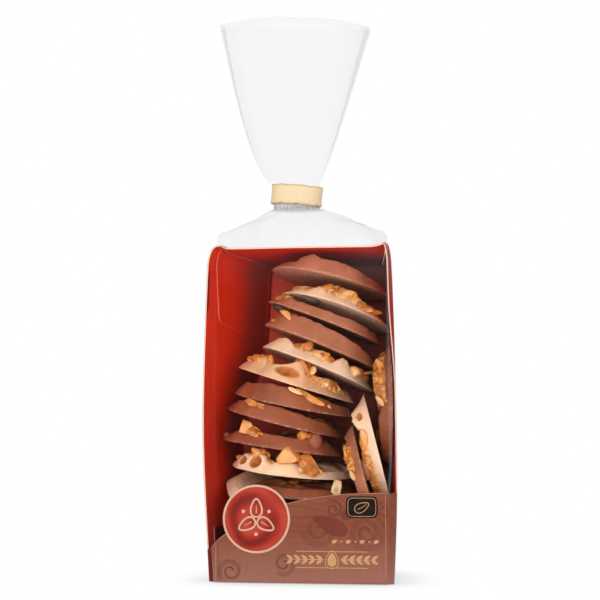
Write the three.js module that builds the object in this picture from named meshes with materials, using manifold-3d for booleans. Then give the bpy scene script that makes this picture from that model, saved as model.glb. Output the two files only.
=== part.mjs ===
// A clear bag of florentine cookies that stands on its block bottom.
// An open-fronted card carton sits inside the clear film, with a low front panel whose top edge is
// a wave and whose round badge stands above that edge. A leaning stack of florentines fills the
// carton, with three more on edge at its right. Over the carton the film slopes in to a neck, a flat
// tie holds the neck, and above the tie the film fans out into an open flare.
//
// Frame: millimetres, +Z up, the front faces -Y, and the origin is under the middle of the carton.
// Nodes: florentines (one heap), bag (the film over the window, the shoulders and the neck, up to the
// middle of the tie), bag_flare, carton, front_panel and tie.
import * as THREE from "three";
import { mergeVertices } from "three/addons/utils/BufferGeometryUtils.js";
import Module from "manifold-3d";

const wasm = await Module();
wasm.setup();

// ---------------------------------------------------------------- driving dimensions, mm

const GAP = 0.3; // clearance between pieces that touch

const carton = {
  halfWidth: 41, // at the belly, which is the widest level
  bellyZ: 62,
  baseNarrowing: 1.9, // how much narrower each side is at the base
  topNarrowing: 2.0, // and at the top
  leanFrom: 0.8, // the pack leans a little: its middle's X at the base
  leanTo: -0.31, // and from this level up
  leanEndZ: 85,
  front: -29,
  back: 29,
  height: 141,
  board: 0.6,
  bevelDepth: 3.4, // the folded front corners, measured along Y
  bevelLeft: 6.4, // and along X
  bevelRight: 3.4,
  bevelCutHigh: 124, // the right bevel narrows downwards from this level
  bevelCutLow: 86, // and has ended at this one; the left bevel is only on the panel
  taperRight: 7.5, // how far the back corners are drawn in
  taperLeftLow: 7.8,
  taperLeftHigh: 19.5,
  pinchFrom: 50, // the back left corner is drawn in further between these levels
  pinchTo: 112,
  lidDrop: 2.8, // the lid slopes down towards the back
  lidDropFrom: 95,
  levels: 20, // facets up its height, which is drawn in along a curve
};

const panel = {
  // Top edge: one cubic curve across the front, as [x, z].
  waveStart: [-42, 10.9],
  waveBend1: [-30.2, 21.4],
  waveBend2: [-14.4, 39.7],
  waveEnd: [42, 37.8],
  badge: { x: -17.6, z: 26.8, radius: 14.3 },
  wrap: 4.0, // how far the panel runs back round the corners
  curveSegments: 36,
};

// One florentine: a crisp flat base, a side that slopes in, and a top that almonds lift unevenly.
const florentine = {
  radius: 26,
  thickness: 5.4, // at the middle of its top
  shoulderInset: 2.6, // where its side ends and its top begins
  shoulderHeight: 4.4,
  crownInset: 9,
  lumps: 5, // round its crown
  lumpHeight: 0.7,
  sides: 26,
  coreRadius: 12, // the hidden plug that joins it to the next one
  coreSides: 7,
  tolerance: 0.05, // slivers shorter than this are merged away
};

// Where the florentines lie: the middle of each one's base, its roll, which drops its right side,
// and its pitch, which lifts its front edge, both in degrees.
const stack = [
  // from the top down
  { at: [10, 0.5, 127], roll: 13, pitch: 6.5 },
  { at: [12.6, 0, 114.4], roll: 17.6, pitch: 9 },
  { at: [7, 0.5, 110.1], roll: 21, pitch: 3 },
  { at: [6.8, 0, 98.8], roll: 22, pitch: 4 },
  { at: [4.3, 0, 89.7], roll: 21.5, pitch: 6 },
  { at: [-5.1, 0, 83.2], roll: 17.4, pitch: 0.5 },
  { at: [-5.6, 0, 74.6], roll: 11.4, pitch: -2 },
  { at: [-10, 0, 66.9], roll: 14.2, pitch: -1 },
  { at: [-11, 0, 56.2], roll: 8.2, pitch: -0.5 },
  { at: [-7.1, 0, 46], roll: 6.2, pitch: -3.5 },
  { at: [-3.5, 2.5, 36.5], roll: 4, pitch: -4 },
  { at: [-12.5, 1, 30.5], roll: 27, pitch: -17 },
  { at: [-6, 0.5, 19.5], roll: 8, pitch: 1 },
  { at: [-7, 0, 10.5], roll: 3, pitch: 0 },
  { at: [-4, 1, 1], roll: 0, pitch: 0 },
];
const standing = [
  // on edge at the right, from left to right
  { at: [26.6, 0, 41], roll: -105, pitch: 0 },
  { at: [31, -0.5, 54], roll: -104, pitch: 0 },
  { at: [34.6, -1, 73.6], roll: -98, pitch: 0 },
];

const neck = {
  x: -3.6,
  y: -8,
  halfWidth: 9.8,
  halfDepth: 4.6,
};

const shoulder = {
  bottom: carton.height + GAP,
  top: 159.8,
  steepness: 0.48, // below 1 the shoulder rises steeply at its rim and flattens inwards
  squareness: 26, // how much squarer than an ellipse its rim is
  squarenessFade: 6, // how soon it rounds inwards
  crowding: 1.6, // above 1 the rings lie closer at the rim
  rings: 12,
  around: 72,
  pleats: 9,
  pleatDepth: 0.7,
};

const tie = {
  z: 165.5,
  height: 8.5,
  thickness: 0.5,
  clearance: 0.7,
  tilt: THREE.MathUtils.degToRad(5), // the right end hangs lower
  lapWidth: 9, // the glued lap at the back
  curveSegments: 28,
};

const flare = {
  bottom: tie.z + GAP / 2,
  spreadFrom: 170.5, // the film starts to fan out here, at the tie's top edge
  apex: 243,
  apexX: -13,
  rimFall: 0.0026, // how fast the rim falls to each side of its apex, per mm
  spreadLeft: 24,
  spreadRight: 22.6,
  powerLeft: 0.56,
  powerRight: 0.85,
  spreadDepth: 8.8,
  powerDepth: 1.15,
  film: 0.8, // stands in for the doubled and folded film
  pocketFloor: 0.12, // the pocket starts this far up the flare
  pleats: 9,
  pleatDepth: 0.7,
  pleatTurn: 0.6, // radians from the right end to the first pleat
  wallRings: 13,
  pocketRings: 11,
  around: 72,
};

// ---------------------------------------------------------------- helpers

const { smoothstep, lerp } = THREE.MathUtils;

// A three.js geometry as a manifold-3d solid.
function solid(geometry) {
  const bare = geometry.clone();
  bare.deleteAttribute("normal");
  bare.deleteAttribute("uv");
  const merged = mergeVertices(bare, 1e-4);
  return new wasm.Manifold(
    new wasm.Mesh({
      numProp: 3,
      vertProperties: merged.attributes.position.array,
      triVerts: new Uint32Array(merged.index.array),
    }),
  );
}

// A manifold-3d solid as a three.js geometry.
function geometryOf(manifold) {
  const mesh = manifold.getMesh();
  const geometry = new THREE.BufferGeometry();
  geometry.setAttribute("position", new THREE.BufferAttribute(mesh.vertProperties, 3));
  geometry.setIndex(new THREE.BufferAttribute(mesh.triVerts, 1));
  geometry.computeVertexNormals();
  return geometry;
}

// Moves every vertex of a geometry by a function of its place.
function warp(geometry, move) {
  const position = geometry.attributes.position;
  const point = new THREE.Vector3();
  for (let i = 0; i < position.count; i += 1) {
    point.fromBufferAttribute(position, i);
    move(point);
    position.setXYZ(i, point.x, point.y, point.z);
  }
  return geometry;
}

// A closed body of rings stacked from bottom to top, where place(j, angle) gives ring j's point.
// The first and the last ring are single points.
function lofted(rings, around, place) {
  const profile = [];
  for (let j = 0; j < rings; j += 1) {
    const onAxis = j === 0 || j === rings - 1;
    profile.push(new THREE.Vector2(onAxis ? 0 : 1, j));
  }
  const geometry = new THREE.LatheGeometry(profile, around);
  const position = geometry.attributes.position;
  for (let i = 0; i < position.count; i += 1) {
    const j = i % rings;
    const step = Math.floor(i / rings) % around;
    const point = place(j, (step / around) * 2 * Math.PI);
    position.setXYZ(i, point.x, point.y, point.z);
  }
  return geometry;
}

// ---------------------------------------------------------------- carton form

function cartonHalfWidth(z) {
  if (z < carton.bellyZ) {
    return carton.halfWidth - carton.baseNarrowing * ((carton.bellyZ - z) / carton.bellyZ) ** 2;
  }
  const rise = (z - carton.bellyZ) / (carton.height - carton.bellyZ);
  return carton.halfWidth - carton.topNarrowing * rise ** 2;
}

function cartonLean(z) {
  return lerp(carton.leanFrom, carton.leanTo, smoothstep(z, 0, carton.leanEndZ));
}

// Turns a point of the plain box into its place on the real, tapered and pinched carton.
function cartonForm(point) {
  const { x, y, z } = point;
  const backness = (y - carton.front) / (carton.back - carton.front);
  const pinch = smoothstep(z, carton.pinchFrom, carton.pinchTo);
  const taperLeft = lerp(carton.taperLeftLow, carton.taperLeftHigh, pinch);
  const taper = x < 0 ? taperLeft : carton.taperRight;
  point.x = cartonLean(z) + (x / carton.halfWidth) * (cartonHalfWidth(z) - taper * backness);
  point.z = z - carton.lidDrop * backness * smoothstep(z, carton.lidDropFrom, carton.height);
}

// The carton's plan, inset from its outside, between two levels.
function cartonBody(inset, zLow, zHigh) {
  const cornerLoss = inset * (2 - Math.SQRT2);
  const side = carton.halfWidth - inset;
  const front = carton.front + inset;
  const back = carton.back - inset;
  const bevelY = front + carton.bevelDepth - cornerLoss;
  const plan = new THREE.Shape();
  plan.moveTo(side - carton.bevelRight + cornerLoss, front);
  plan.lineTo(side, bevelY);
  plan.lineTo(side, back);
  plan.lineTo(-side, back);
  plan.lineTo(-side, bevelY);
  plan.lineTo(-side + carton.bevelLeft - cornerLoss, front);
  plan.closePath();
  return formedPrism(plan, zLow, zHigh);
}

// A rectangle of the plain box's plan, between two levels.
function cartonBlock(xLow, xHigh, yLow, yHigh, zLow, zHigh) {
  const plan = new THREE.Shape();
  plan.moveTo(xLow, yLow);
  plan.lineTo(xHigh, yLow);
  plan.lineTo(xHigh, yHigh);
  plan.lineTo(xLow, yHigh);
  plan.closePath();
  return formedPrism(plan, zLow, zHigh);
}

function formedPrism(plan, zLow, zHigh) {
  const geometry = new THREE.ExtrudeGeometry(plan, {
    depth: zHigh - zLow,
    steps: carton.levels,
    bevelEnabled: false,
  });
  geometry.translate(0, 0, zLow);
  return solid(warp(geometry, cartonForm));
}

// A shape drawn in X and Z, from just before the front back to a depth behind it.
function standUp(shape, depth) {
  const toFront = carton.front - 1;
  const geometry = new THREE.ExtrudeGeometry(shape, {
    depth: depth + 1,
    bevelEnabled: false,
    curveSegments: panel.curveSegments,
  });
  geometry.rotateX(Math.PI / 2);
  geometry.translate(0, toFront + depth + 1, 0);
  return solid(geometry);
}

// The front region below the wave, with the round badge, grown by a margin.
function panelRegion(margin) {
  const depth = panel.wrap + margin;
  const below = new THREE.Shape();
  below.moveTo(panel.waveStart[0], -1);
  below.lineTo(panel.waveEnd[0], -1);
  below.lineTo(panel.waveEnd[0], panel.waveEnd[1] + margin);
  below.bezierCurveTo(
    panel.waveBend2[0],
    panel.waveBend2[1] + margin,
    panel.waveBend1[0],
    panel.waveBend1[1] + margin,
    panel.waveStart[0],
    panel.waveStart[1] + margin,
  );
  below.closePath();
  const round = new THREE.Shape();
  round.absarc(panel.badge.x, panel.badge.z, panel.badge.radius + margin, 0, 2 * Math.PI, false);
  return standUp(below, depth).add(standUp(round, depth));
}

// ---------------------------------------------------------------- carton and panel

const shell = cartonBody(0, 0, carton.height).subtract(
  cartonBody(carton.board, carton.board, carton.height - carton.board),
);
const windowLeft = -carton.halfWidth + carton.bevelLeft;
const windowRight = carton.halfWidth - carton.bevelRight;
const pane = 1.2; // stands in for the film over the window, which runs up in front of the lid

// Where the bevels are cut away above the panel: the whole left one and the lower part of the right.
function bevelOpening() {
  const beyond = carton.halfWidth + 1;
  const overlap = 3; // with the window, whose sides bend with the carton
  const underLid = carton.height - 2 * carton.board;
  const leftCut = new THREE.Shape();
  leftCut.moveTo(-beyond, -1);
  leftCut.lineTo(windowLeft + overlap, -1);
  leftCut.lineTo(windowLeft + overlap, underLid);
  leftCut.lineTo(-beyond, underLid);
  leftCut.closePath();
  const rightCut = new THREE.Shape();
  rightCut.moveTo(windowRight - overlap, -1);
  rightCut.lineTo(beyond, -1);
  rightCut.lineTo(beyond, carton.bevelCutLow);
  rightCut.lineTo(carton.halfWidth, carton.bevelCutLow);
  rightCut.lineTo(windowRight, carton.bevelCutHigh);
  rightCut.lineTo(windowRight - overlap, carton.bevelCutHigh);
  rightCut.closePath();
  return standUp(leftCut, carton.bevelDepth).add(standUp(rightCut, carton.bevelDepth));
}

function makeCarton() {
  const lidSetBack = carton.front + pane + GAP;
  const window = cartonBlock(windowLeft, windowRight, carton.front - 1, lidSetBack, -1, carton.height + 1);
  return shell.subtract(window).subtract(bevelOpening()).subtract(panelRegion(GAP));
}

function makeFrontPanel() {
  return shell.intersect(panelRegion(0));
}

// ---------------------------------------------------------------- florentines

// One florentine with its base's middle at the origin. The phase turns its lumps.
function makeFlorentine(phase) {
  const { radius, thickness, shoulderInset, shoulderHeight, crownInset, lumps, lumpHeight } = florentine;
  const profile = [
    { reach: 0, height: 0, lump: 0 },
    { reach: radius, height: 0, lump: 0 },
    { reach: radius - shoulderInset, height: shoulderHeight, lump: lumpHeight / 2 },
    { reach: radius - crownInset, height: thickness, lump: lumpHeight },
    { reach: 0, height: thickness, lump: 0 },
  ];
  const place = (j, angle) => {
    const { reach, height, lump } = profile[j];
    const z = height + lump * Math.sin(lumps * angle + phase);
    return new THREE.Vector3(reach * Math.cos(angle), reach * Math.sin(angle), z);
  };
  return lofted(profile.length, florentine.sides, place);
}

// The turn and place of a florentine.
function poseOf({ at, roll, pitch }) {
  const turn = new THREE.Euler(THREE.MathUtils.degToRad(-pitch), THREE.MathUtils.degToRad(roll), 0, "YXZ");
  return new THREE.Matrix4().makeRotationFromEuler(turn).setPosition(...at);
}

// The hidden plug from a florentine's base to the next one's.
function makeCore(from, to) {
  const pose = poseOf(from);
  const axis = new THREE.Vector3().setFromMatrixColumn(pose, 2);
  const reach = new THREE.Vector3(...from.at).sub(new THREE.Vector3(...to.at)).dot(axis);
  const height = reach + florentine.thickness / 2;
  const plug = new THREE.CylinderGeometry(
    florentine.coreRadius,
    florentine.coreRadius,
    height,
    florentine.coreSides,
  );
  plug.rotateX(Math.PI / 2);
  plug.translate(0, 0, height / 2 - reach);
  return plug.applyMatrix4(pose);
}

// Both rows as one solid, clear of the card and of the pane.
function makeFlorentines() {
  const pieces = [];
  for (const row of [stack, standing]) {
    row.forEach((spec, i) => {
      pieces.push(solid(makeFlorentine(i).applyMatrix4(poseOf(spec))));
      if (i < row.length - 1) {
        pieces.push(solid(makeCore(spec, row[i + 1])));
      }
    });
  }
  const inset = carton.board + GAP;
  const behindPane = carton.front + pane + GAP;
  const inside = cartonBody(inset, inset, carton.height - inset);
  const front = cartonBlock(-carton.halfWidth, carton.halfWidth, carton.front, behindPane, 0, carton.height);
  const heap = wasm.Manifold.union(pieces).intersect(inside.subtract(front));
  // Gaps that the florentines shut in between them are filled: only the outermost skin is kept.
  const skins = heap.decompose().sort((a, b) => b.volume() - a.volume());
  return skins[0].simplify(florentine.tolerance);
}

// ---------------------------------------------------------------- bag

// The film over the window. It follows the panel's wave and runs up in front of the lid.
function makePane() {
  const sheet = cartonBlock(
    windowLeft + GAP,
    windowRight - GAP,
    carton.front,
    carton.front + pane,
    0,
    carton.height + 1,
  );
  return sheet.subtract(panelRegion(GAP));
}

// A ring round the neck's axis at half-width a and half-depth b. A high power squares its corners.
function ringPoint(angle, a, b, power) {
  const c = Math.cos(angle);
  const s = Math.sin(angle);
  const reach = (Math.abs(c / a) ** power + Math.abs(s / b) ** power) ** (-1 / power);
  return new THREE.Vector3(reach * c, reach * s, 0);
}

// The sloping shoulders and the neck, up to the middle of the tie.
function makeShoulders() {
  const rings = shoulder.rings + 4;
  const bottomDepth = (carton.back - carton.front) / 2;
  const place = (j, angle) => {
    if (j === 0) {
      return new THREE.Vector3(0, 0, shoulder.bottom - carton.lidDrop / 2);
    }
    if (j >= rings - 2) {
      const top = new THREE.Vector3(neck.x, neck.y, tie.z - GAP / 2);
      return j === rings - 1 ? top : top.add(ringPoint(angle, neck.halfWidth, neck.halfDepth, 2));
    }
    const inward = Math.min(1, ((j - 1) / shoulder.rings) ** shoulder.crowding);
    const a = lerp(carton.halfWidth, neck.halfWidth, inward);
    const b = lerp(bottomDepth, neck.halfDepth, inward);
    const power = 2 + shoulder.squareness * (1 - inward) ** shoulder.squarenessFade;
    const point = ringPoint(angle, a, b, power);
    const fold = shoulder.pleatDepth * Math.sin(Math.PI * inward) * Math.cos(shoulder.pleats * angle);
    point.multiplyScalar(1 + fold / point.length());
    // The rim follows the carton's plan, and the neck's ring is drawn round the neck's axis.
    const onCarton = new THREE.Vector3(point.x, point.y, carton.height);
    cartonForm(onCarton);
    const dropped = carton.height - onCarton.z;
    const z = lerp(shoulder.bottom, shoulder.top, inward ** shoulder.steepness);
    point.x = lerp(onCarton.x, point.x + neck.x, inward);
    point.y = lerp(point.y, point.y + neck.y, inward);
    point.z = z - dropped * (1 - inward);
    return point;
  };
  return solid(lofted(rings, shoulder.around, place));
}

function makeBag() {
  return makePane().add(makeShoulders());
}

// ---------------------------------------------------------------- flare

// The flare's wall at height fraction t and an angle, drawn in by an inset.
function flarePoint(t, angle, inset) {
  const c = Math.cos(angle);
  const s = Math.sin(angle);
  const spread = c < 0 ? flare.spreadLeft * t ** flare.powerLeft : flare.spreadRight * t ** flare.powerRight;
  const a = neck.halfWidth + spread - inset;
  const b = neck.halfDepth + flare.spreadDepth * t ** flare.powerDepth - inset;
  const fold = flare.pleatDepth * t * Math.cos(flare.pleats * angle + flare.pleatTurn);
  const x = neck.x + (a + fold) * c;
  const y = neck.y + (b + fold) * s;
  const rim = flare.apex - flare.rimFall * (x - flare.apexX) ** 2;
  return new THREE.Vector3(x, y, lerp(flare.spreadFrom, rim, t));
}

function makeFlare() {
  const { wallRings, pocketRings } = flare;
  const rings = 1 + 1 + wallRings + pocketRings + 1;
  const place = (j, angle) => {
    if (j === 0) {
      return new THREE.Vector3(neck.x, neck.y, flare.bottom);
    }
    if (j === 1) {
      return flarePoint(0, angle, 0).setZ(flare.bottom);
    }
    if (j < 2 + wallRings) {
      return flarePoint((j - 2) / (wallRings - 1), angle, 0);
    }
    if (j < rings - 1) {
      const down = (j - 2 - wallRings) / (pocketRings - 1);
      return flarePoint(lerp(1, flare.pocketFloor, down), angle, flare.film);
    }
    const floor = flarePoint(flare.pocketFloor, Math.PI / 2, flare.film);
    return new THREE.Vector3(neck.x, neck.y, floor.z);
  };
  return solid(lofted(rings, flare.around, place));
}

// ---------------------------------------------------------------- tie

function ellipseRing(innerA, innerB, thickness) {
  const ring = new THREE.Shape();
  ring.absellipse(0, 0, innerA + thickness, innerB + thickness, 0, 2 * Math.PI, false, 0);
  const hole = new THREE.Path();
  hole.absellipse(0, 0, innerA, innerB, 0, 2 * Math.PI, true, 0);
  ring.holes.push(hole);
  return ring;
}

function makeTie() {
  const options = { depth: tie.height, bevelEnabled: false, curveSegments: tie.curveSegments };
  const a = neck.halfWidth + tie.clearance;
  const b = neck.halfDepth + tie.clearance;
  const band = solid(new THREE.ExtrudeGeometry(ellipseRing(a, b, tie.thickness), options));
  // The lap is a second layer over the middle of the back.
  const wrap = solid(new THREE.ExtrudeGeometry(ellipseRing(a, b, 2 * tie.thickness), options));
  const atBack = new THREE.BoxGeometry(tie.lapWidth, 2 * b, 3 * tie.height);
  atBack.translate(0, b, 0);
  return band.add(wrap.intersect(solid(atBack)));
}

// ---------------------------------------------------------------- scene graph

const materials = {
  film: new THREE.MeshStandardMaterial({
    color: 0xe9ebec,
    roughness: 0.08,
    metalness: 0,
    transparent: true,
    opacity: 0.35,
  }),
  redCard: new THREE.MeshStandardMaterial({ color: 0xb02a18, roughness: 0.45, metalness: 0 }),
  brownCard: new THREE.MeshStandardMaterial({ color: 0x865040, roughness: 0.4, metalness: 0 }),
  goldTie: new THREE.MeshStandardMaterial({ color: 0xfde2b4, roughness: 0.5, metalness: 0.1 }),
  chocolate: new THREE.MeshStandardMaterial({ color: 0xb27052, roughness: 0.5, metalness: 0 }),
};

function meshOf(name, manifold, material) {
  const mesh = new THREE.Mesh(geometryOf(manifold), material);
  mesh.name = name;
  return mesh;
}

const pack = new THREE.Group();
pack.add(meshOf("florentines", makeFlorentines(), materials.chocolate));
pack.add(meshOf("bag", makeBag(), materials.film));
pack.add(meshOf("bag_flare", makeFlare(), materials.film));
pack.add(meshOf("carton", makeCarton(), materials.redCard));
pack.add(meshOf("front_panel", makeFrontPanel(), materials.brownCard));

const tieSeat = new THREE.Group();
tieSeat.position.set(neck.x, neck.y, tie.z);
tieSeat.rotation.y = tie.tilt;
const tieMesh = meshOf("tie", makeTie(), materials.goldTie);
tieMesh.position.z = -tie.height / 2;
tieSeat.add(tieMesh);
pack.add(tieSeat);

export default pack;
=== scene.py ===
"""The looks of a clear bag of florentine cookies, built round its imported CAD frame.

Every length below is in millimetres in the CAD frame (+Z up, the front faces -Y, the origin under
the middle of the carton) and becomes metres only when a mesh is made. The pieces are the clear
film (body, flare, back seam), the card carton with two flaps, the printed front panel with its badge
and ornament, the paper tie, and florentines of milk and of white chocolate with their almonds.
"""
import math
from collections import namedtuple
from types import SimpleNamespace

import bmesh
import bpy
import numpy as np
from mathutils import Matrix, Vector


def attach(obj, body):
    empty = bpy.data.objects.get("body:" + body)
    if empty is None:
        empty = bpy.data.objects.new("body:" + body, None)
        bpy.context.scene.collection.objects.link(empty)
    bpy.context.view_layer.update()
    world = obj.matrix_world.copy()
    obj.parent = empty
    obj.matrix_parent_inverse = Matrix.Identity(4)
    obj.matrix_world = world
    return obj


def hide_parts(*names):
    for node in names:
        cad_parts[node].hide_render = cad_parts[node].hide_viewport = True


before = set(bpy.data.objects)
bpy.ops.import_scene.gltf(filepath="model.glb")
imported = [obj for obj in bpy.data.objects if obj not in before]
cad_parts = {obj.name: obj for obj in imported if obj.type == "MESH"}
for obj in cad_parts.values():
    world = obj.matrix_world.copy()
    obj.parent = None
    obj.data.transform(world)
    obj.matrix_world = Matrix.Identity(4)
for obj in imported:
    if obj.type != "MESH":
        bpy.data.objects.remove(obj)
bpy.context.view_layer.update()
BODY = "root"
MM = 0.001

# ------------------------------------------------------------------ driving dimensions, mm

CARTON = SimpleNamespace(
    half_width=41.0, belly_z=62.0, base_narrowing=1.9, top_narrowing=2.0,
    lean_from=0.8, lean_to=-0.31, lean_end_z=85.0,
    front=-29.0, back=29.0, height=141.0, board=0.6,
    bevel_depth=3.4, bevel_left=6.4, bevel_right=3.4,
    taper_right=7.5, taper_left_low=7.8, taper_left_high=19.5, pinch_from=50.0, pinch_to=112.0,
    lid_drop=2.8, lid_drop_from=95.0, bevel_cut_high=124.0, bevel_cut_low=86.0,
    round_from=133.5, round_left=4.2, round_right=1.8, corner_rise=1.6,
)
PANEL = SimpleNamespace(
    wave=((-42.0, 10.9), (-30.2, 21.4), (-14.4, 39.7), (42.0, 37.8)),
    badge_x=-17.6, badge_z=26.8, badge_radius=14.3, wrap=4.0,
)
NECK = SimpleNamespace(x=-3.6, y=-8.0, half_width=9.8, half_depth=4.6)
SHOULDER = SimpleNamespace(bottom=141.3, top=159.8, steepness=0.48, squareness=26.0)
TIE = SimpleNamespace(z=165.5, height=8.5, thickness=0.5, clearance=0.7, tilt=math.radians(5), lap=9.0)
FLARE = SimpleNamespace(
    spread_from=170.5, apex=243.0, apex_x=-13.0, rim_fall=0.0026,
    spread_left=24.0, spread_right=22.6, power_left=0.56, power_right=0.85,
    spread_depth=4.4, power_depth=1.15, gusset_left=1.6, gusset_right=2.4, rim_band=4.6,
)
# Painted light and shade inside the carton change between these places: shade deepens along Y, the back
# wall's painted-lit red turns to painted shade across X, and the back wall's colours take over at its place
# in Y.
PAINTED_SHADE_PLACES = SimpleNamespace(depth=(-25, 12), across=(-16, 4), back_wall=(26, 28))
# How far each print stands off the front panel.
LIFT = SimpleNamespace(leaf=0.03, fine=0.045, line=0.05, bold=0.06, plaque=0.09, badge=0.12)
CARD_GAP = 0.35  # edges of card stop this far short of the sheets they meet
FILM_GAP = 0.35  # the film stands this far off the card
FLAP_RADIUS = 1.6  # of a flap's lower front corner
BASE_EDGE = 0.16  # the rounding round a cookie's base
MARK_RADIUS = 26.0  # dents and drips are placed on a cookie of this radius
WINDOW_RIGHT = CARTON.half_width - CARTON.bevel_right
WRAP_Y = CARTON.front + PANEL.wrap  # the brown print ends here on each side
RED_MARGIN = 2.1  # how far the side's red runs round the left corner, along X

# ------------------------------------------------------------------ colours


def srgb(red, green, blue):
    """A screen colour, 0 to 255, as a linear colour with alpha."""
    def linear(value):
        value /= 255
        return value / 12.92 if value <= 0.04045 else ((value + 0.055) / 1.055) ** 2.4
    return (linear(red), linear(green), linear(blue), 1.0)


COLOUR = SimpleNamespace(**{name: srgb(*screen) for name, screen in dict(
    red_outside=(156, 32, 20), red_outside_deep=(132, 28, 18), red=(214, 46, 18),
    red_deep=(196, 38, 16), red_inner=(164, 52, 40), red_back=(216, 80, 62),
    shade_back=(134, 70, 58), maroon=(120, 38, 30), maroon_deep=(84, 26, 22), side_red=(88, 22, 17),
    brown=(126, 69, 47), brown_pale=(157, 111, 96), brown_edge=(166, 112, 92),
    brown_line=(98, 50, 37), brown_glow=(118, 56, 38), raw_card=(236, 206, 184),
    raw_card_deep=(214, 170, 146), raw_pink=(226, 120, 100), raw_pink_deep=(190, 80, 66),
    cream=(204, 166, 140), tan=(192, 146, 100), plaque=(22, 13, 11), badge_red=(155, 38, 24),
    badge_dark=(112, 26, 18), badge_light=(172, 62, 44), tie=(214, 192, 152),
    tie_edge=(200, 168, 124), rust=(178, 96, 52), milk=(161, 88, 56), milk_dark=(122, 60, 37),
    milk_pale=(183, 114, 82), milk_pale_dark=(152, 88, 60), milk_scuff=(214, 164, 134),
    white=(240, 206, 175), white_warm=(228, 180, 136), tan_white=(226, 178, 142),
    tan_white_warm=(198, 134, 92), milk_under=(204, 158, 132), white_under=(206, 174, 162),
    dusk=(52, 30, 24), caramel=(206, 120, 44), caramel_dark=(150, 76, 24),
    caramel_deep=(84, 36, 12), caramel_pale=(232, 160, 82), almond=(246, 204, 152),
    almond_skin=(150, 84, 38), floor=(250, 250, 250), floor_deep=(247, 247, 247),
).items()})

# ------------------------------------------------------------------ numbers and curves


def smoothstep(value, low, high):
    t = np.clip((np.asarray(value, float) - low) / (high - low), 0, 1)
    return t * t * (3 - 2 * t)


def lerp(a, b, t):
    return a + (b - a) * t


def full_turn(count):
    """Evenly spaced angles once round."""
    return np.arange(count) / count * 2 * math.pi


def circle(angles, radius, z=0.0):
    """Points round the Z axis. The radius and z may be one number or one for each angle."""
    x, y, z = radius * np.cos(angles), radius * np.sin(angles), np.broadcast_to(z, angles.shape)
    return np.stack([x, y, z], -1)


def cell_random(cell, seed):
    """A seeded number from 0 to 1 for each whole-numbered cell."""
    h = (cell[..., 0] * 73856093) ^ (cell[..., 1] * 19349663) ^ (cell[..., 2] * 83492791)
    h = (h ^ (seed * 668265263)) & 0xFFFFFFFF
    h = ((h ^ (h >> 15)) * 2246822519) & 0xFFFFFFFF
    h = ((h ^ (h >> 13)) * 3266489917) & 0xFFFFFFFF
    return ((h ^ (h >> 16)) & 0xFFFFFFFF) / 0xFFFFFFFF


def noise3(points, size, seed=0):
    """Smooth seeded noise from -1 to 1, with bumps about size mm across."""
    p = np.asarray(points, float) / size + 4096.0
    cell = np.floor(p).astype(np.int64)
    f = p - cell
    f = f * f * (3 - 2 * f)
    total = np.zeros(p.shape[:-1])
    for corner in np.ndindex(2, 2, 2):
        weight = np.prod(np.where(np.array(corner) == 1, f, 1 - f), axis=-1)
        total = total + weight * (2 * cell_random(cell + np.array(corner), seed) - 1)
    return total


def fractal(points, size, seed=0, octaves=3):
    total = 0.0
    for k in range(octaves):
        total = total + noise3(points, size / 2 ** k, seed + 17 * k) / 2 ** k
    return total


def random_facets(rng, shapes=24, sides=8):
    """Directions of the flat sides of some irregular lumps."""
    normals = rng.normal(size=(shapes, sides, 3))
    return normals / np.linalg.norm(normals, axis=-1, keepdims=True)


FACETS = random_facets(np.random.default_rng(7))


def crags(points, size, seed):
    """Angular lumps packed side by side, about size mm across. Gives each point the height of the
    lump it is on, from 0 in the clefts to about 1, that lump's own tone and how deep in a cleft it is."""
    p = np.asarray(points, float) / size + 4096.0
    cell = np.floor(p).astype(np.int64)
    best = np.full(p.shape[:-1], -9.0)
    second = best.copy()
    tone = np.zeros(p.shape[:-1])
    for step in np.ndindex(3, 3, 3):
        c = cell + np.array(step) - 1
        centre = c + np.stack([cell_random(c, seed + k) for k in (1, 2, 3)], -1)
        facets = FACETS[(cell_random(c, seed + 4) * len(FACETS)).astype(int) % len(FACETS)]
        reach = np.einsum("...fk,...k->...f", facets, p - centre).max(-1)
        height = 1 - reach / (0.62 + 0.3 * cell_random(c, seed + 5))
        won = height > best
        second = np.where(won, best, np.maximum(second, height))
        tone = np.where(won, cell_random(c, seed + 6), tone)
        best = np.where(won, height, best)
    cleft = 1 - smoothstep(best - second, 0.0, 0.22)
    return np.clip(best, 0.0, 0.72) / 0.72, tone, cleft


def bezier_wave(samples=200):
    """The wave of the front panel's top edge as arrays of x and z."""
    t = np.linspace(0, 1, samples)[:, None]
    a, b, c, d = (np.array(p) for p in PANEL.wave)
    points = a * (1 - t) ** 3 + 3 * b * t * (1 - t) ** 2 + 3 * c * t ** 2 * (1 - t) + d * t ** 3
    return points[:, 0], points[:, 1]


WAVE_X, WAVE_Z = bezier_wave()


def wave_height(x):
    return np.interp(x, WAVE_X, WAVE_Z)


# ------------------------------------------------------------------ the carton's form


def carton_half_width(z):
    below = CARTON.half_width - CARTON.base_narrowing * ((CARTON.belly_z - z) / CARTON.belly_z) ** 2
    rise = (z - CARTON.belly_z) / (CARTON.height - CARTON.belly_z)
    above = CARTON.half_width - CARTON.top_narrowing * rise ** 2
    return np.where(z < CARTON.belly_z, below, above)


def carton_lean(z):
    return lerp(CARTON.lean_from, CARTON.lean_to, smoothstep(z, 0, CARTON.lean_end_z))


def top_rounding(z):
    """How far the sides have turned in towards the lid: 0 low down and 1 at the lid."""
    t = np.clip((z - CARTON.round_from) / (CARTON.height - CARTON.round_from), 0, 1)
    return 1 - np.sqrt(1 - t ** 2)


def corner_lift(x, backness):
    """How far the two front corners stand up over the lid, in mm."""
    return CARTON.corner_rise * smoothstep(np.abs(x), 34.5, 39.0) * (1 - smoothstep(backness, 0.08, 0.3))


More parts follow.
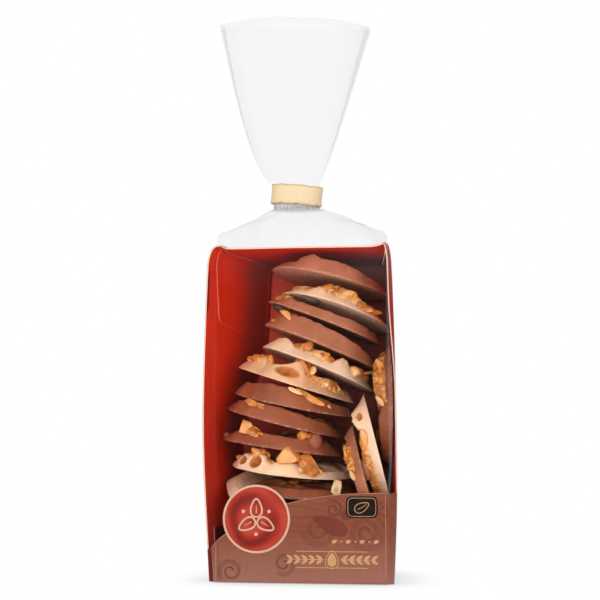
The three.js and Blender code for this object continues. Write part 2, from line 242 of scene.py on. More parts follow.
def bevel_end_shift(z):
    """The right bevel is full width on the panel and narrows over it, twice."""
    return 0.9 * smoothstep(z, 38, 50) + 0.9 * smoothstep(z, 100, 138)


def carton_form(x, y, z):
    """Turns points of the plain box into their places on the tapered, pinched carton."""
    x, y, z = np.broadcast_arrays(np.asarray(x, float), np.asarray(y, float), np.asarray(z, float))
    backness = (y - CARTON.front) / (CARTON.back - CARTON.front)
    rise = corner_lift(x, backness) * smoothstep(z, CARTON.round_from, CARTON.height)
    rounding = np.where(x < 0, CARTON.round_left, CARTON.round_right) * top_rounding(z)
    crease = bevel_end_shift(z) * np.clip(1 - np.abs(x - WINDOW_RIGHT) / CARTON.bevel_right, 0, 1)
    x = x * (1 - rounding / CARTON.half_width) + crease * (y < CARTON.front + CARTON.bevel_depth)
    pinch = smoothstep(z, CARTON.pinch_from, CARTON.pinch_to)
    taper_left = lerp(CARTON.taper_left_low, CARTON.taper_left_high, pinch)
    taper = np.where(x < 0, taper_left, CARTON.taper_right)
    width = carton_half_width(z) - taper * backness
    swell = np.where(x < 0, 0.5 + 0.65 * smoothstep(z, 10, 110), 0.35 + 0.2 * smoothstep(z, 10, 40))
    placed_x = carton_lean(z) + (x / CARTON.half_width) * (width + swell)
    drop = CARTON.lid_drop * backness * smoothstep(z, CARTON.lid_drop_from, CARTON.height)
    return np.stack([placed_x, y, z - drop + rise], -1)


def plan_corners(inset):
    """The carton's plan as corners, from the left front round the back to the right front."""
    loss = inset * (2 - math.sqrt(2))
    side = CARTON.half_width - inset
    front = CARTON.front + inset
    back = CARTON.back - inset
    bevel_y = front + CARTON.bevel_depth - loss
    return [
        (-side + CARTON.bevel_left - loss, front),
        (-side, bevel_y),
        (-side, back),
        (side, back),
        (side, bevel_y),
        (side - CARTON.bevel_right + loss, front),
    ]


def rounded_path(corners, radius, step, closed=False):
    """Points along straight runs with their corners rounded, about step apart on the runs."""
    corners = [np.array(c, float) for c in corners]
    count = len(corners)
    turns = []
    for i, corner in enumerate(corners):
        if not closed and i in (0, count - 1):
            turns.append([corner])
            continue
        before = corners[i - 1] - corner
        after = corners[(i + 1) % count] - corner
        reach = min(radius, 0.45 * np.linalg.norm(before), 0.45 * np.linalg.norm(after))
        start = corner + before / np.linalg.norm(before) * reach
        end = corner + after / np.linalg.norm(after) * reach
        turns.append([
            start * (1 - t) ** 2 + 2 * corner * t * (1 - t) + end * t ** 2
            for t in np.linspace(0, 1, 7)
        ])
    path = []
    for i, turn in enumerate(turns):
        path.extend(turn)
        if i == count - 1 and not closed:
            break
        here, there = turn[-1], turns[(i + 1) % count][0]
        pieces = max(1, int(np.linalg.norm(there - here) / step))
        path.extend(here + (there - here) * k / pieces for k in range(1, pieces))
    return np.array(path)


# ------------------------------------------------------------------ meshes


def link_object(name, data):
    """A new object in the scene, made from its data."""
    made = bpy.data.objects.new(name, data)
    bpy.context.scene.collection.objects.link(made)
    return made


def make_piece(name, points, faces, materials, face_materials, replaces, attributes=None):
    """One smooth mesh object from points in mm. It rides on the body and hides the CAD nodes
    it replaces. The attributes hold a number for each point."""
    mesh = bpy.data.meshes.new(name)
    mesh.from_pydata((np.asarray(points, float) * MM).tolist(), [], [list(map(int, f)) for f in faces])
    for material in materials:
        mesh.materials.append(material)
    mesh.polygons.foreach_set("material_index", np.asarray(face_materials, np.int32))
    mesh.polygons.foreach_set("use_smooth", np.full(len(mesh.polygons), True))
    for key, values in (attributes or {}).items():
        layer = mesh.attributes.new(key, "FLOAT", "POINT")
        layer.data.foreach_set("value", np.asarray(values, np.float32))
    mesh.validate()
    mesh.update()
    piece = link_object(name, mesh)
    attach(piece, BODY)
    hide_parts(*replaces)


def band(first, second, columns, closed=False):
    """Quads between two rows of points, which start at the numbers first and second."""
    return [(first + j, first + (j + 1) % columns, second + (j + 1) % columns, second + j)
            for j in range(columns if closed else columns - 1)]


def fan(first, around, tip, flipped=False):
    """Triangles from a closed row of points to one tip."""
    pairs = [(first + j, first + (j + 1) % around) for j in range(around)]
    return [(b, a, tip) if flipped else (a, b, tip) for a, b in pairs]


def grid_faces(rows, columns, closed=False):
    """Quads of a grid stored row by row. A closed grid joins its last column to its first."""
    return [face for i in range(rows - 1)
            for face in band(i * columns, (i + 1) * columns, columns, closed)]


def backs(faces, shift):
    """The same faces seen from behind, on points that come shift later."""
    return [tuple(v + shift for v in reversed(face)) for face in faces]


def grid_normals(points, closed=False):
    """Unit normals of a grid of points of shape rows, columns, 3."""
    down = np.gradient(points, axis=0)
    if closed:
        wrapped = np.concatenate([points[:, -1:], points, points[:, :1]], axis=1)
        along = np.gradient(wrapped, axis=1)[:, 1:-1]
    else:
        along = np.gradient(points, axis=1)
    normals = np.cross(along, down)
    length = np.linalg.norm(normals, axis=-1, keepdims=True)
    return normals / np.maximum(length, 1e-9)


def slab(outer, thickness):
    """A sheet of card from its outer grid. Returns points, faces and a material index for each
    face: 0 on the outer side, 1 on the inner side and 2 round the cut edges."""
    rows, columns = outer.shape[:2]
    inner = outer - grid_normals(outer) * thickness
    points = np.concatenate([outer.reshape(-1, 3), inner.reshape(-1, 3)])
    front = grid_faces(rows, columns)
    shift = rows * columns
    back = backs(front, shift)
    edge = [(0, j) for j in range(columns)] + [(i, columns - 1) for i in range(1, rows)]
    edge += [(rows - 1, j) for j in range(columns - 2, -1, -1)] + [(i, 0) for i in range(rows - 2, 0, -1)]
    ids = [i * columns + j for i, j in edge]
    rim = [(b, a, a + shift, b + shift) for a, b in zip(ids, ids[1:] + ids[:1])]
    kinds = [0] * len(front) + [1] * len(back) + [2] * len(rim)
    return points, front + back + rim, kinds


def joined(parts):
    """Several (points, faces, kinds) as one."""
    points, faces, kinds, shift = [], [], [], 0
    for part_points, part_faces, part_kinds in parts:
        points.append(np.asarray(part_points, float).reshape(-1, 3))
        faces.extend(tuple(v + shift for v in f) for f in part_faces)
        kinds.extend(part_kinds)
        shift += len(points[-1])
    return np.concatenate(points), faces, kinds


# ------------------------------------------------------------------ materials


class Tree:
    """A material's or world's node tree, with short calls to add and link nodes."""

    def __init__(self, owner):
        owner.use_nodes = True
        self.tree = owner.node_tree
        self.tree.nodes.clear()

    def add(self, kind, inputs=None, **settings):
        node = self.tree.nodes.new("ShaderNode" + kind)
        for key, value in settings.items():
            setattr(node, key, value)
        for key, value in (inputs or {}).items():
            if isinstance(value, bpy.types.NodeSocket):
                self.tree.links.new(value, node.inputs[key])
            else:
                node.inputs[key].default_value = value
        return node

    def place(self):
        return self.add("TexCoord").outputs["Object"]

    def along(self, axis):
        return self.add("SeparateXYZ", {"Vector": self.place()}).outputs[axis]

    def noise(self, size_mm, detail=2.0, roughness=0.5):
        inputs = {"Vector": self.place(), "Scale": 1 / (size_mm * MM), "Detail": detail,
                  "Roughness": roughness}
        return self.add("TexNoise", inputs).outputs["Fac"]

    def rings(self, place, scale, distortion, detail, detail_scale):
        """Wavy rings round the Y axis."""
        inputs = {"Vector": place, "Scale": scale, "Distortion": distortion, "Detail": detail,
                  "Detail Scale": detail_scale}
        return self.add("TexWave", inputs, wave_type="RINGS", rings_direction="Y").outputs["Fac"]

    def ramp(self, factor, *stops):
        node = self.add("ValToRGB", {"Fac": factor})
        elements = node.color_ramp.elements
        while len(elements) < len(stops):
            elements.new(0.5)
        for element, (place, colour) in zip(elements, stops):
            element.position = place
            element.color = colour
        return node.outputs["Color"]

    def grey(self, factor, *stops):
        return self.ramp(factor, *((place, (v, v, v, 1)) for place, v in stops))

    def mix(self, factor, a, b):
        return self.add("Mix", {0: factor, 6: a, 7: b}, data_type="RGBA", clamp_factor=True).outputs[2]

    def math(self, operation, a, b=0.5, clamp=False):
        return self.add("Math", {0: a, 1: b}, operation=operation, use_clamp=clamp).outputs[0]

    def times(self, a, b):
        return self.math("MULTIPLY", a, b)

    def bump(self, height, strength, distance_mm, normal=None):
        inputs = {"Height": height, "Strength": strength, "Distance": distance_mm * MM}
        if normal is not None:
            inputs["Normal"] = normal
        return self.add("Bump", inputs).outputs["Normal"]

    def attribute(self, name):
        return self.add("Attribute", attribute_name=name, attribute_type="GEOMETRY").outputs["Fac"]

    def finish(self, shader):
        self.add("OutputMaterial", {"Surface": shader.outputs[0]})

    def surface(self, base, roughness, specular=0.5, normal=None, **more):
        """Makes a principled surface the material's result. The names in more have _ for spaces."""
        inputs = {"Base Color": base, "Roughness": roughness, "Specular IOR Level": specular}
        if normal is not None:
            inputs["Normal"] = normal
        inputs.update({key.replace("_", " "): value for key, value in more.items()})
        self.finish(self.add("BsdfPrincipled", inputs))


def new_material(name):
    material = bpy.data.materials.new(name)
    return material, Tree(material)


def film_material(name, tint, haze, crumple_mm, rim):
    """Clear polypropylene film: see-through face on, greyer and shinier where it turns away. The
    mesh says where it is hazier, as along creases and where it is doubled, and where glare and shade are
    painted in."""
    material, t = new_material(name)
    normal = t.bump(t.noise(crumple_mm, detail=3), 0.35, 0.5)
    facing = t.add("LayerWeight", {"Blend": 0.30, "Normal": normal}).outputs["Facing"]
    body = t.times(t.math("POWER", facing, 2.0), rim)
    cloudy_sheen = t.times(t.grey(t.noise(34, detail=1), (0.35, 0.5), (0.7, 1.0)), haze)
    factor = t.math("ADD", t.math("ADD", body, cloudy_sheen), t.attribute("haze"), clamp=True)
    clear = t.add("BsdfTransparent", {"Color": (tint, tint, tint * 1.002, 1)})
    gloss = t.add("BsdfPrincipled", {
        "Base Color": (0.51, 0.5, 0.495, 1), "Roughness": 0.2, "IOR": 1.5, "Normal": normal,
        "Specular IOR Level": 0.5,
    })
    t.finish(t.add("MixShader", {0: factor, 1: clear.outputs[0], 2: gloss.outputs[0]}))
    return material


def print_material(name, colour, deep, roughness=0.34, inner=None):
    """Printed and varnished card in one flat ink, with faint mottling and rubbed fibres. An inner
    colour, a painted shade, takes over towards the carton's back; the back wall gets a lighter, painted-lit
    red that darkens to the right with painted shade."""
    material, t = new_material(name)
    base = t.mix(t.grey(t.noise(9, detail=4), (0.3, 0.0), (0.75, 0.6)), colour, deep)
    if inner:
        def passed(axis, start, end):
            return t.grey(t.along(axis), (start * MM, 0.0), (end * MM, 1.0))
        # Painted shade: the inside darkens towards the back; the back wall is painted lit at its left and
        # shaded towards its right.
        base = t.mix(passed("Y", *PAINTED_SHADE_PLACES.depth), base, inner)
        back = t.mix(passed("X", *PAINTED_SHADE_PLACES.across), COLOUR.red_back, COLOUR.shade_back)
        base = t.mix(passed("Y", *PAINTED_SHADE_PLACES.back_wall), base, back)
    fibre = t.noise(0.45, detail=3)
    rough = t.grey(fibre, (0.3, roughness - 0.05), (0.7, roughness + 0.08))
    t.surface(base, rough, 0.03, t.bump(fibre, 0.12, 0.06))
    return material


def raw_card_material(name, light, dark):
    """The pale cut edge of the board."""
    material, t = new_material(name)
    fibre = t.noise(0.3, detail=4)
    t.surface(t.mix(t.grey(fibre, (0.3, 0.0), (0.7, 1.0)), light, dark), 0.8,
              normal=t.bump(fibre, 0.4, 0.08))
    return material


def panel_material():
    """The front panel's brown ink with tone-on-tone contour lines, paler towards the foot with a painted
    glare of the film over it.
    """
    material, t = new_material("panel_print")
    line = t.grey(t.rings(t.place(), 110.0, 9.0, 2.0, 0.6), (0.0, 1.0), (0.16, 0.0))
    patch = t.grey(t.noise(14, detail=2), (0.42, 0.0), (0.6, 1.0))
    ink = t.mix(t.times(line, 0.5), COLOUR.brown, COLOUR.brown_line)
    ink = t.mix(t.times(patch, 0.35), ink, COLOUR.brown_glow)
    # Painted glare: the ink turns paler towards the foot.
    share = t.math("DIVIDE", t.along("Z"), 40 * MM)
    ink = t.mix(t.grey(share, (0.0, 0.62), (0.55, 0.0)), ink, COLOUR.brown_pale)
    t.surface(ink, 0.36, 0.08, t.bump(t.noise(0.45, detail=3), 0.12, 0.06))
    return material


def badge_material():
    """The badge's red field: a satin swirl of lighter and darker red."""
    material, t = new_material("badge_print")
    centred = t.add("Mapping", {
        "Vector": t.place(), "Location": (-PANEL.badge_x * MM, 0, -PANEL.badge_z * MM),
    }).outputs[0]
    bend = t.add("TexNoise", {"Vector": centred, "Scale": 1 / (16 * MM), "Detail": 1}).outputs["Fac"]
    swirl = t.rings(centred, 38.0, 7.0, 1.0, 0.8)
    base = t.ramp(swirl, (0.0, COLOUR.badge_dark), (0.5, COLOUR.badge_red), (1.0, COLOUR.badge_light))
    base = t.mix(t.grey(bend, (0.35, 0.0), (0.65, 0.7)), base, COLOUR.badge_red)
    t.surface(base, 0.34, 0.08)
    return material


def tie_material():
    """A paper-covered band: fine ribs along it, browner towards its edges, with rust specks."""
    material, t = new_material("tie_paper")
    across = t.attribute("across")
    grain = t.noise(0.7, detail=4)
    margin = t.math("ABSOLUTE", t.math("SUBTRACT", across, 0.5))
    base = t.ramp(margin, (0.0, COLOUR.tie), (0.36, COLOUR.tie), (0.5, COLOUR.tie_edge))
    base = t.mix(t.grey(grain, (0.45, 0.0), (0.8, 0.5)), base, COLOUR.tie_edge)
    low = t.grey(across, (0.0, 1.0), (0.10, 0.0))
    specks = t.grey(t.noise(1.3, detail=2), (0.55, 0.0), (0.62, 1.0))
    base = t.mix(t.times(specks, low), base, COLOUR.rust)
    ribs = t.times(t.math("SINE", t.times(across, 95.0)), 0.3)
    t.surface(base, 0.6, normal=t.bump(t.math("ADD", ribs, grain), 0.25, 0.12), Sheen_Weight=0.1)
    return material


def toffee_ink(t, own, own_share, noise, noise_share, stops):
    """Caramel to pale almond, by a lump's own tone and some noise. The stops are the four tones'."""
    shade = t.math("ADD", t.times(own, own_share), t.times(noise, noise_share))
    inks = (COLOUR.caramel_dark, COLOUR.caramel, COLOUR.caramel_pale, COLOUR.almond)
    return t.ramp(shade, *zip(stops, inks))


def chocolate_material(name, light, dark, scuff, under_tone, roughness):
    """Chocolate with a satin skin, a grainy underside, pale scuffs on its edge and caramel where the
    cookie's own caramel mask says so, with painted shade in the caramel's clefts. Where the dark mask says
    so, painted shade darkens it all."""
    material, t = new_material(name)
    caramel, edge, under = (t.attribute(key) for key in ("caramel", "edge", "under"))
    broad = t.noise(11, detail=3)
    fine = t.noise(1.1, detail=4, roughness=0.65)
    skin = t.mix(t.grey(broad, (0.3, 0.0), (0.72, 0.8)), light, dark)
    skin = t.mix(t.times(under, t.grey(fine, (0.42, 0.05), (0.60, 1.0))), skin, under_tone)
    flecks = t.grey(t.noise(1.1, detail=2), (0.56, 0.0), (0.64, 1.0))
    scuffed = t.times(flecks, t.math("MAXIMUM", edge, t.times(under, 0.55)))
    skin = t.mix(t.times(scuffed, 0.85), skin, scuff)
    toffee = toffee_ink(t, t.attribute("tone"), 0.8, t.noise(2.4, detail=4), 0.35, (0.14, 0.40, 0.68, 0.98))
    # Painted shade: the caramel darkens deep in its clefts.
    toffee = t.mix(t.times(t.attribute("cleft"), 0.5), toffee, COLOUR.caramel_deep)
    # Painted shade: the dark mask turns the chocolate towards a shade colour.
    base = t.mix(t.attribute("dark"), t.mix(caramel, skin, toffee), COLOUR.dusk)
    rough = t.mix(caramel, (roughness,) * 3 + (1,), (0.30,) * 3 + (1,))
    grain = t.times(fine, t.math("ADD", t.times(under, 2.4), 0.12))
    t.surface(base, rough, 0.28, t.bump(grain, 0.5, 0.25, t.bump(broad, 0.25, 0.6)),
              Subsurface_Weight=0.06, Subsurface_Radius=(1.0, 0.5, 0.3), Subsurface_Scale=0.0012)
    return material


def almond_material():
    """Toasted almond: cream flesh to gold, brown skin on the rims, a sticky caramel shine."""
    material, t = new_material("almond")
    tone = t.noise(4.5, detail=3)
    fine = t.noise(0.7, detail=3)
    flesh = toffee_ink(t, t.attribute("tone"), 0.75, tone, 0.4, (0.12, 0.40, 0.66, 0.95))
    browned = t.times(t.attribute("skin"), t.grey(fine, (0.3, 0.6), (0.7, 1.0)))
    t.surface(t.mix(browned, flesh, COLOUR.almond_skin), 0.36, 0.4,
              t.bump(fine, 0.35, 0.2, t.bump(tone, 0.4, 0.8)), Coat_Weight=0.2, Coat_Roughness=0.2,
              Subsurface_Weight=0.12, Subsurface_Radius=(1.0, 0.6, 0.3), Subsurface_Scale=0.0015)
    return material


def ink_material(name, colour):
    """A small printed or foiled mark, with a little unevenness in the ink."""
    material, t = new_material(name)
    darker = tuple(v * 0.86 for v in colour[:3]) + (1.0,)
    t.surface(t.mix(t.grey(t.noise(1.1, detail=3), (0.35, 0.0), (0.75, 1.0)), colour, darker), 0.4, 0.05)
    return material


# ------------------------------------------------------------------ film


def plan_loop(offset, radius=1.4, step=2.5):
    """The film's closed plan round the carton, offset outwards, in the box's plain plan."""
    return rounded_path(plan_corners(-offset), radius, step, closed=True)


def super_ring(angles, a, b, power):
    c, s = np.cos(angles), np.sin(angles)
    reach = (np.abs(c / a) ** power + np.abs(s / b) ** power) ** (-1 / power)
    return np.stack([reach * c, reach * s], -1)


def shoulder_ring(plan, angles, inward):
    """One ring of the film between the carton's rim (inward 0) and the neck (inward 1)."""
    a = lerp(CARTON.half_width, NECK.half_width, inward)
    b = lerp(CARTON.back, NECK.half_depth, inward)
    power = 2 + SHOULDER.squareness * (1 - inward) ** 6
    ring = super_ring(angles, a, b, power)
    length = np.linalg.norm(ring, axis=-1, keepdims=True)
    broad = 0.7 * math.sin(math.pi * inward) * np.cos(9 * angles)
    gather = 0.3 * inward ** 3 * np.cos(26 * angles + 0.4 * np.sin(5 * angles))
    ring = ring * (1 + (broad + gather)[:, None] / length)
    rim_share = 1 - smoothstep(inward, 0.0, 0.07)
    ring = lerp(ring, plan, rim_share)
    on_carton = carton_form(ring[:, 0], ring[:, 1], CARTON.height)
    dropped = CARTON.height - on_carton[:, 2]
    x = lerp(on_carton[:, 0], ring[:, 0] + NECK.x, inward)
    y = lerp(ring[:, 1], ring[:, 1] + NECK.y, inward)
    z = lerp(SHOULDER.bottom, SHOULDER.top, inward ** SHOULDER.steepness) - dropped * (1 - inward) ** 2
    return np.stack([x, y, z], -1)


def shoulder_creases(points):
    """Fine drawn creases of the film over the lid, as a small lift in z."""
    x, y, z = points[..., 0], points[..., 1], points[..., 2]
    lift = 0.30 * noise3(points, 9, 5) + 0.14 * noise3(points, 3.5, 6)
    right_crease = np.exp(-((z - 152.0 + 0.28 * (x - 6)) / 0.7) ** 2) * smoothstep(x, 4, 12)
    left_crumple = np.exp(-(((x + 4) / 6) ** 2 + ((z - 153.5) / 1.6) ** 2)) * np.sin(x * 1.7)
    return (lift - 0.5 * right_crease + 0.45 * left_crumple) * (y < NECK.y)


def make_film_tube(name, rings, hazes, material, node):
    """A skin of film from its closed rings, with how hazy it is at each point."""
    grid = np.array(rings)
    faces = grid_faces(*grid.shape[:2], closed=True)
    make_piece(name, grid.reshape(-1, 3), faces, [material], [0] * len(faces), [node],
               {"haze": np.reshape(hazes, -1)})


def make_film_body(material):
    """The film's shut body: its foot, its four sides, the shoulders and the neck, in one sheet."""
    plan = plan_loop(FILM_GAP)
    angles = np.arctan2(plan[:, 1], plan[:, 0])
    rings = []
    for share, z in ((0.0, 0.06), (0.55, 0.06), (0.93, 0.06), (0.985, 0.08)):
        ring = carton_form(plan[:, 0] * share, plan[:, 1] * share, 0.0)
        ring[:, 2] = z
        rings.append(ring)
    outward = plan / np.linalg.norm(plan, axis=-1, keepdims=True)
    for z in (0.35, 1.2, *np.linspace(3, CARTON.height - 1, 56)):
        ring = carton_form(plan[:, 0], plan[:, 1], z)
        slack = 0.16 * noise3(ring, 22, 3) + 0.07 * noise3(ring, 7, 4)
        ring[:, :2] += outward * slack[:, None]
        rings.append(ring)
    for share in np.linspace(0, 1, 44):
        ring = shoulder_ring(plan, angles, share ** 1.6)
        ring[:, 2] += shoulder_creases(ring) * math.sin(math.pi * min(1.0, share * 1.15)) ** 0.5
        rings.append(ring)
    for z in np.linspace(SHOULDER.top, TIE.z, 7)[1:]:
        ring = shoulder_ring(plan, angles, 1.0)
        ring[:, 2] = z
        rings.append(ring)
    make_film_tube("film_body", rings, film_haze_and_glare(np.array(rings), plan), material, "bag")


def film_haze_and_glare(grid, plan):
    """How hazy the body's film is: along the creases at its front corners, in part a painted highlight,
    over the open bevel at the right and at the window's top with painted glare, and in the gathered neck."""
    z = grid[..., 2]
    above_panel = smoothstep(z, 36, 40) * (1 - smoothstep(z, 139, 142))
    corners = plan_corners(-FILM_GAP)
    haze = np.zeros(z.shape)
    # Haze along the creases down the front corners, in part a painted highlight.
    for (x, y), strength in ((corners[5], 0.15), (corners[0], 0.02), (corners[4], 0.02)):
        gap = np.linalg.norm(plan - np.array([x, y]), axis=1)
        haze = haze + strength * np.exp(-(gap / 0.55) ** 2) * above_panel
    # Painted glare: a greyish sheen over the open bevel at the right and a soft cloudy highlight over the
    # window's top right.
    on_right = (plan[:, 0] > corners[5][0]) & (plan[:, 1] < corners[4][1])
    glare = 0.04 * smoothstep(z, 112, 130)
    on_front = (plan[:, 1] < corners[0][1] + 0.05) * smoothstep(z, 122, 131)
    cloudy_sheen = 0.008 + 0.010 * smoothstep(grid[..., 0], 0, 22) * (1 + noise3(grid, 8, 41))
    neck = 0.75 * smoothstep(z, 158.6, 160.4)
    return haze + (on_right * glare + on_front * cloudy_sheen) * above_panel + neck


def flare_section(t, sheet):
    """The flare's section at height share t: a bowed front and back sheet joined on each side by
    a gusset folded inwards. sheet is an array of places round the section, from 0 to 4."""
    half_depth = NECK.half_depth + FLARE.spread_depth * t ** FLARE.power_depth
    corner = math.radians(15)
    side = np.floor(sheet).astype(int) % 4
    share = sheet - np.floor(sheet)
    front = lerp(math.pi + corner, 2 * math.pi - corner, share)
    back = lerp(corner, math.pi - corner, share)
    angle = np.select([side == 0, side == 2], [front, back], 0.0)
    gusset = np.where(side == 1, FLARE.gusset_right, FLARE.gusset_left) * t ** 0.8
    x = np.select([side == 1, side == 3], [math.cos(corner), -math.cos(corner)], np.cos(angle))
    fold = math.sin(corner) * (2 * share - 1)
    y = np.select([side == 1, side == 3], [fold, -fold], np.sin(angle))
    on_gusset = side % 2 == 1
    drawn_in = np.where(on_gusset, gusset * np.sin(math.pi * share) ** 1.5, 0.0)
    spread_left = NECK.half_width + FLARE.spread_left * t ** FLARE.power_left
    spread_right = NECK.half_width + FLARE.spread_right * t ** FLARE.power_right
    reach = np.where(x < 0, spread_left, spread_right) / math.cos(corner)
    placed_x = NECK.x + x * reach - np.sign(x) * drawn_in
    pleat = 0.5 * t * np.cos(7 * angle + 0.6) + 0.35 * t * (1 - t) * np.cos(19 * angle)
    return placed_x, NECK.y + y * (half_depth + np.where(on_gusset, 0.0, pleat))


def make_film_flare(material):
    """The open flare above the tie, with a slightly curled rim."""
    counts = (70, 20, 70, 20)
    sheet = np.concatenate([k + np.arange(n) / n for k, n in enumerate(counts)])
    rings, hazes = [], []
    for z in np.linspace(TIE.z, FLARE.spread_from, 5)[:-1]:
        x, y = flare_section(0.0, sheet)
        rings.append(np.stack([x, y, np.full_like(x, z)], -1))
        hazes.append(np.zeros_like(x))
    for t in np.linspace(0, 1, 60):
        x, y = flare_section(t, sheet)
        curl = 0.9 * smoothstep(t, 0.955, 1.0)
        y = y + np.sign(y - NECK.y) * curl * np.minimum(1, np.abs(y - NECK.y) / 4)
        rim = FLARE.apex - FLARE.rim_fall * (x - FLARE.apex_x) ** 2 - 0.35
        z = lerp(FLARE.spread_from, rim, t)
        ring = np.stack([x, y, z], -1)
        ring[:, 1] += t * (0.35 * noise3(ring, 13, 8) + 0.15 * noise3(ring, 5, 9))
        rings.append(ring)
        # Greyer along the front sheet's top rim, and towards the flare's sides with painted shade of the
        # folded gussets.
        rim_band = 0.22 * smoothstep(rim - z, FLARE.rim_band, 0.5 * FLARE.rim_band) * (sheet < 1)
        aside = (x - NECK.x) / np.abs(x - NECK.x).max()
        sides = 0.10 * smoothstep(aside, 0.45, 0.95) + 0.08 * smoothstep(-aside, 0.7, 1.0)
        hazes.append(rim_band + sides * smoothstep(t, 0.0, 0.25))
    make_film_tube("film_flare", rings, hazes, material, "bag_flare")


def make_film_seam(material):
    """The bag's back seam: a doubled strip of film laid flat down the middle of the back."""
    xs = np.linspace(-4.5, 4.5, 7)
    levels = np.linspace(1.5, CARTON.height - 3, 60)
    grid = np.empty((len(levels), len(xs), 3))
    for i, z in enumerate(levels):
        grid[i] = carton_form(xs, CARTON.back, z)
        grid[i, :, 1] = CARTON.back + FILM_GAP + 0.28
        grid[i, :, 1] += 0.10 * np.sin(z * 0.9 + xs) * (np.abs(xs) > 3)
    points, faces, kinds = slab(grid[:, ::-1], 0.12)
    make_piece("film_back_seam", points, faces, [material] * 3, kinds, ["bag"],
               {"haze": np.full(len(points), 0.05)})


# ------------------------------------------------------------------ carton


def wall_path():
    """The carton wall's plan from the left front corner round the back to the right one, with close
    pairs of points where its lower edge steps."""
    path = rounded_path(plan_corners(0.0)[1:5], 0.9, 2.0)
    for x, y in ((-CARTON.half_width, WRAP_Y), (CARTON.half_width, WRAP_Y)):
        pair = np.array([[x, y - 0.02], [x, y + 0.02]])
        if x > 0:
            pair = pair[::-1]
        distance = np.linalg.norm(path - np.array([x, y]), axis=1)
        near = int(distance.argmin())
        after = near + 1 if (path[near, 1] - y) * (-1 if x > 0 else 1) < 0 else near
        path = np.insert(path, after, pair, axis=0)
    return path


def wall_levels(low):
    """Heights up the wall above its lower edge, closer together where its top turns in."""
    straight = lerp(low, CARTON.round_from, np.linspace(0, 1, 62)[:, None])
    turn = np.linspace(0, math.pi / 2, 13)[1:, None]
    rounding = CARTON.round_from + (CARTON.height - CARTON.round_from) * np.sin(turn)
    return np.concatenate([straight, np.broadcast_to(rounding, (12, len(low)))])


def level_sheet(z_level, front, across=42, deep=30):
    """A lid or foot: the carton's plan at one level, from front to back."""
    grid = np.empty((deep, across, 3))
    for i, y in enumerate(np.linspace(front, CARTON.back - CARD_GAP, deep)):
        half = CARTON.half_width - CARD_GAP
        cut = max(0.0, CARTON.front + CARTON.bevel_depth - y) / CARTON.bevel_depth
        left = -half + cut * (CARTON.bevel_left - 0.3)
        right = half - cut * (CARTON.bevel_right - 0.3)
        grid[i] = carton_form(np.linspace(left, right, across), y, z_level)
    return grid


def make_carton(red, red_inside, raw):
    """The carton's wall, lid and foot, each a sheet of card with pale cut edges. The wall's right
    front corner is folded in along a bevel that narrows downwards and ends."""
    path = wall_path()
    corner, bevel_end = (np.array(c) for c in plan_corners(0.0)[4:6])
    share = np.linspace(0, 1, 6)[1:]
    path = np.concatenate([path, corner + (bevel_end - corner) * share[:, None]])
    low = np.where(path[:, 1] < WRAP_Y, wave_height(path[:, 0]), 0.0) + CARD_GAP
    z = wall_levels(low)
    x = np.broadcast_to(path[:, 0], z.shape).copy()
    y = np.broadcast_to(path[:, 1], z.shape).copy()
    folded = smoothstep(z[:, -1], CARTON.bevel_cut_low - 8, CARTON.bevel_cut_high + 8)
    folded = np.maximum(folded, 0.02)[:, None] * share
    columns = slice(-len(share), None)
    x[:, columns] = corner[0] + (bevel_end[0] - corner[0]) * folded
    y[:, columns] = corner[1] + (bevel_end[1] - corner[1]) * folded
    wall = carton_form(x, y, z)
    sway = 0.22 * noise3(wall, 30, 11)
    wall[..., 0] += sway * np.sign(wall[..., 0]) * (np.abs(y) < 24) * (z < CARTON.round_from)
    lid = level_sheet(CARTON.height, CARTON.front + CARD_GAP)
    lid[..., 2] += 0.18 * noise3(lid, 26, 12)
    foot = level_sheet(CARD_GAP + CARTON.board, CARTON.front + CARD_GAP + 0.4)
    points, faces, kinds = joined([slab(sheet, CARTON.board) for sheet in (wall[:, ::-1], lid, foot)])
    make_piece("carton_card", points, faces, [red, red_inside, raw], kinds, ["carton"])


def make_side_flap(name, front_low, front_high, low, high, back, materials):
    """A flap glued down inside the left wall. Its front edge runs from a place (y, z) up to another,
    its lower edge is given at a few places (y, z), and its lower front corner is rounded off."""
    columns, rows = 40, 26
    low_y, low_z = (np.array(v, float) for v in zip(*low))
    share = np.linspace(0, 1, columns) ** 1.5
    grid = np.empty((rows, columns, 3))
    for j, u in enumerate(share):
        run = u * (back - front_low[0])
        bottom = float(np.interp(front_low[0] + run, low_y, low_z))
        if run < FLAP_RADIUS:
            bottom += FLAP_RADIUS - math.sqrt(FLAP_RADIUS ** 2 - (FLAP_RADIUS - run) ** 2)
        z = np.linspace(bottom, high, rows)
        front = np.interp(z, (front_low[1], front_high[1]), (front_low[0], front_high[0]))
        grid[:, j] = carton_form(-CARTON.half_width, lerp(front, back, u), z)
        grid[:, j, 0] += CARTON.board + CARD_GAP
    grid[..., 0] += 0.2 * noise3(grid, 18, 21) + 0.3 * (1 - smoothstep(share, 0.0, 0.12))
    points, faces, kinds = slab(grid, 0.5)
    make_piece(name, points, faces, materials, kinds, ["carton"])


# ------------------------------------------------------------------ front panel


def front_y(x, z):
    """The front panel's face. It bows out by a hair in its middle."""
    bow = 0.25 * np.cos(np.asarray(x, float) / 41 * math.pi / 2) * np.sin(np.clip(z, 0, 38) / 38 * math.pi)
    return CARTON.front - bow


def on_front(x, z, lift):
    """Points a little way in front of the panel's face."""
    return np.stack([x, front_y(x, z) - lift, z], -1)


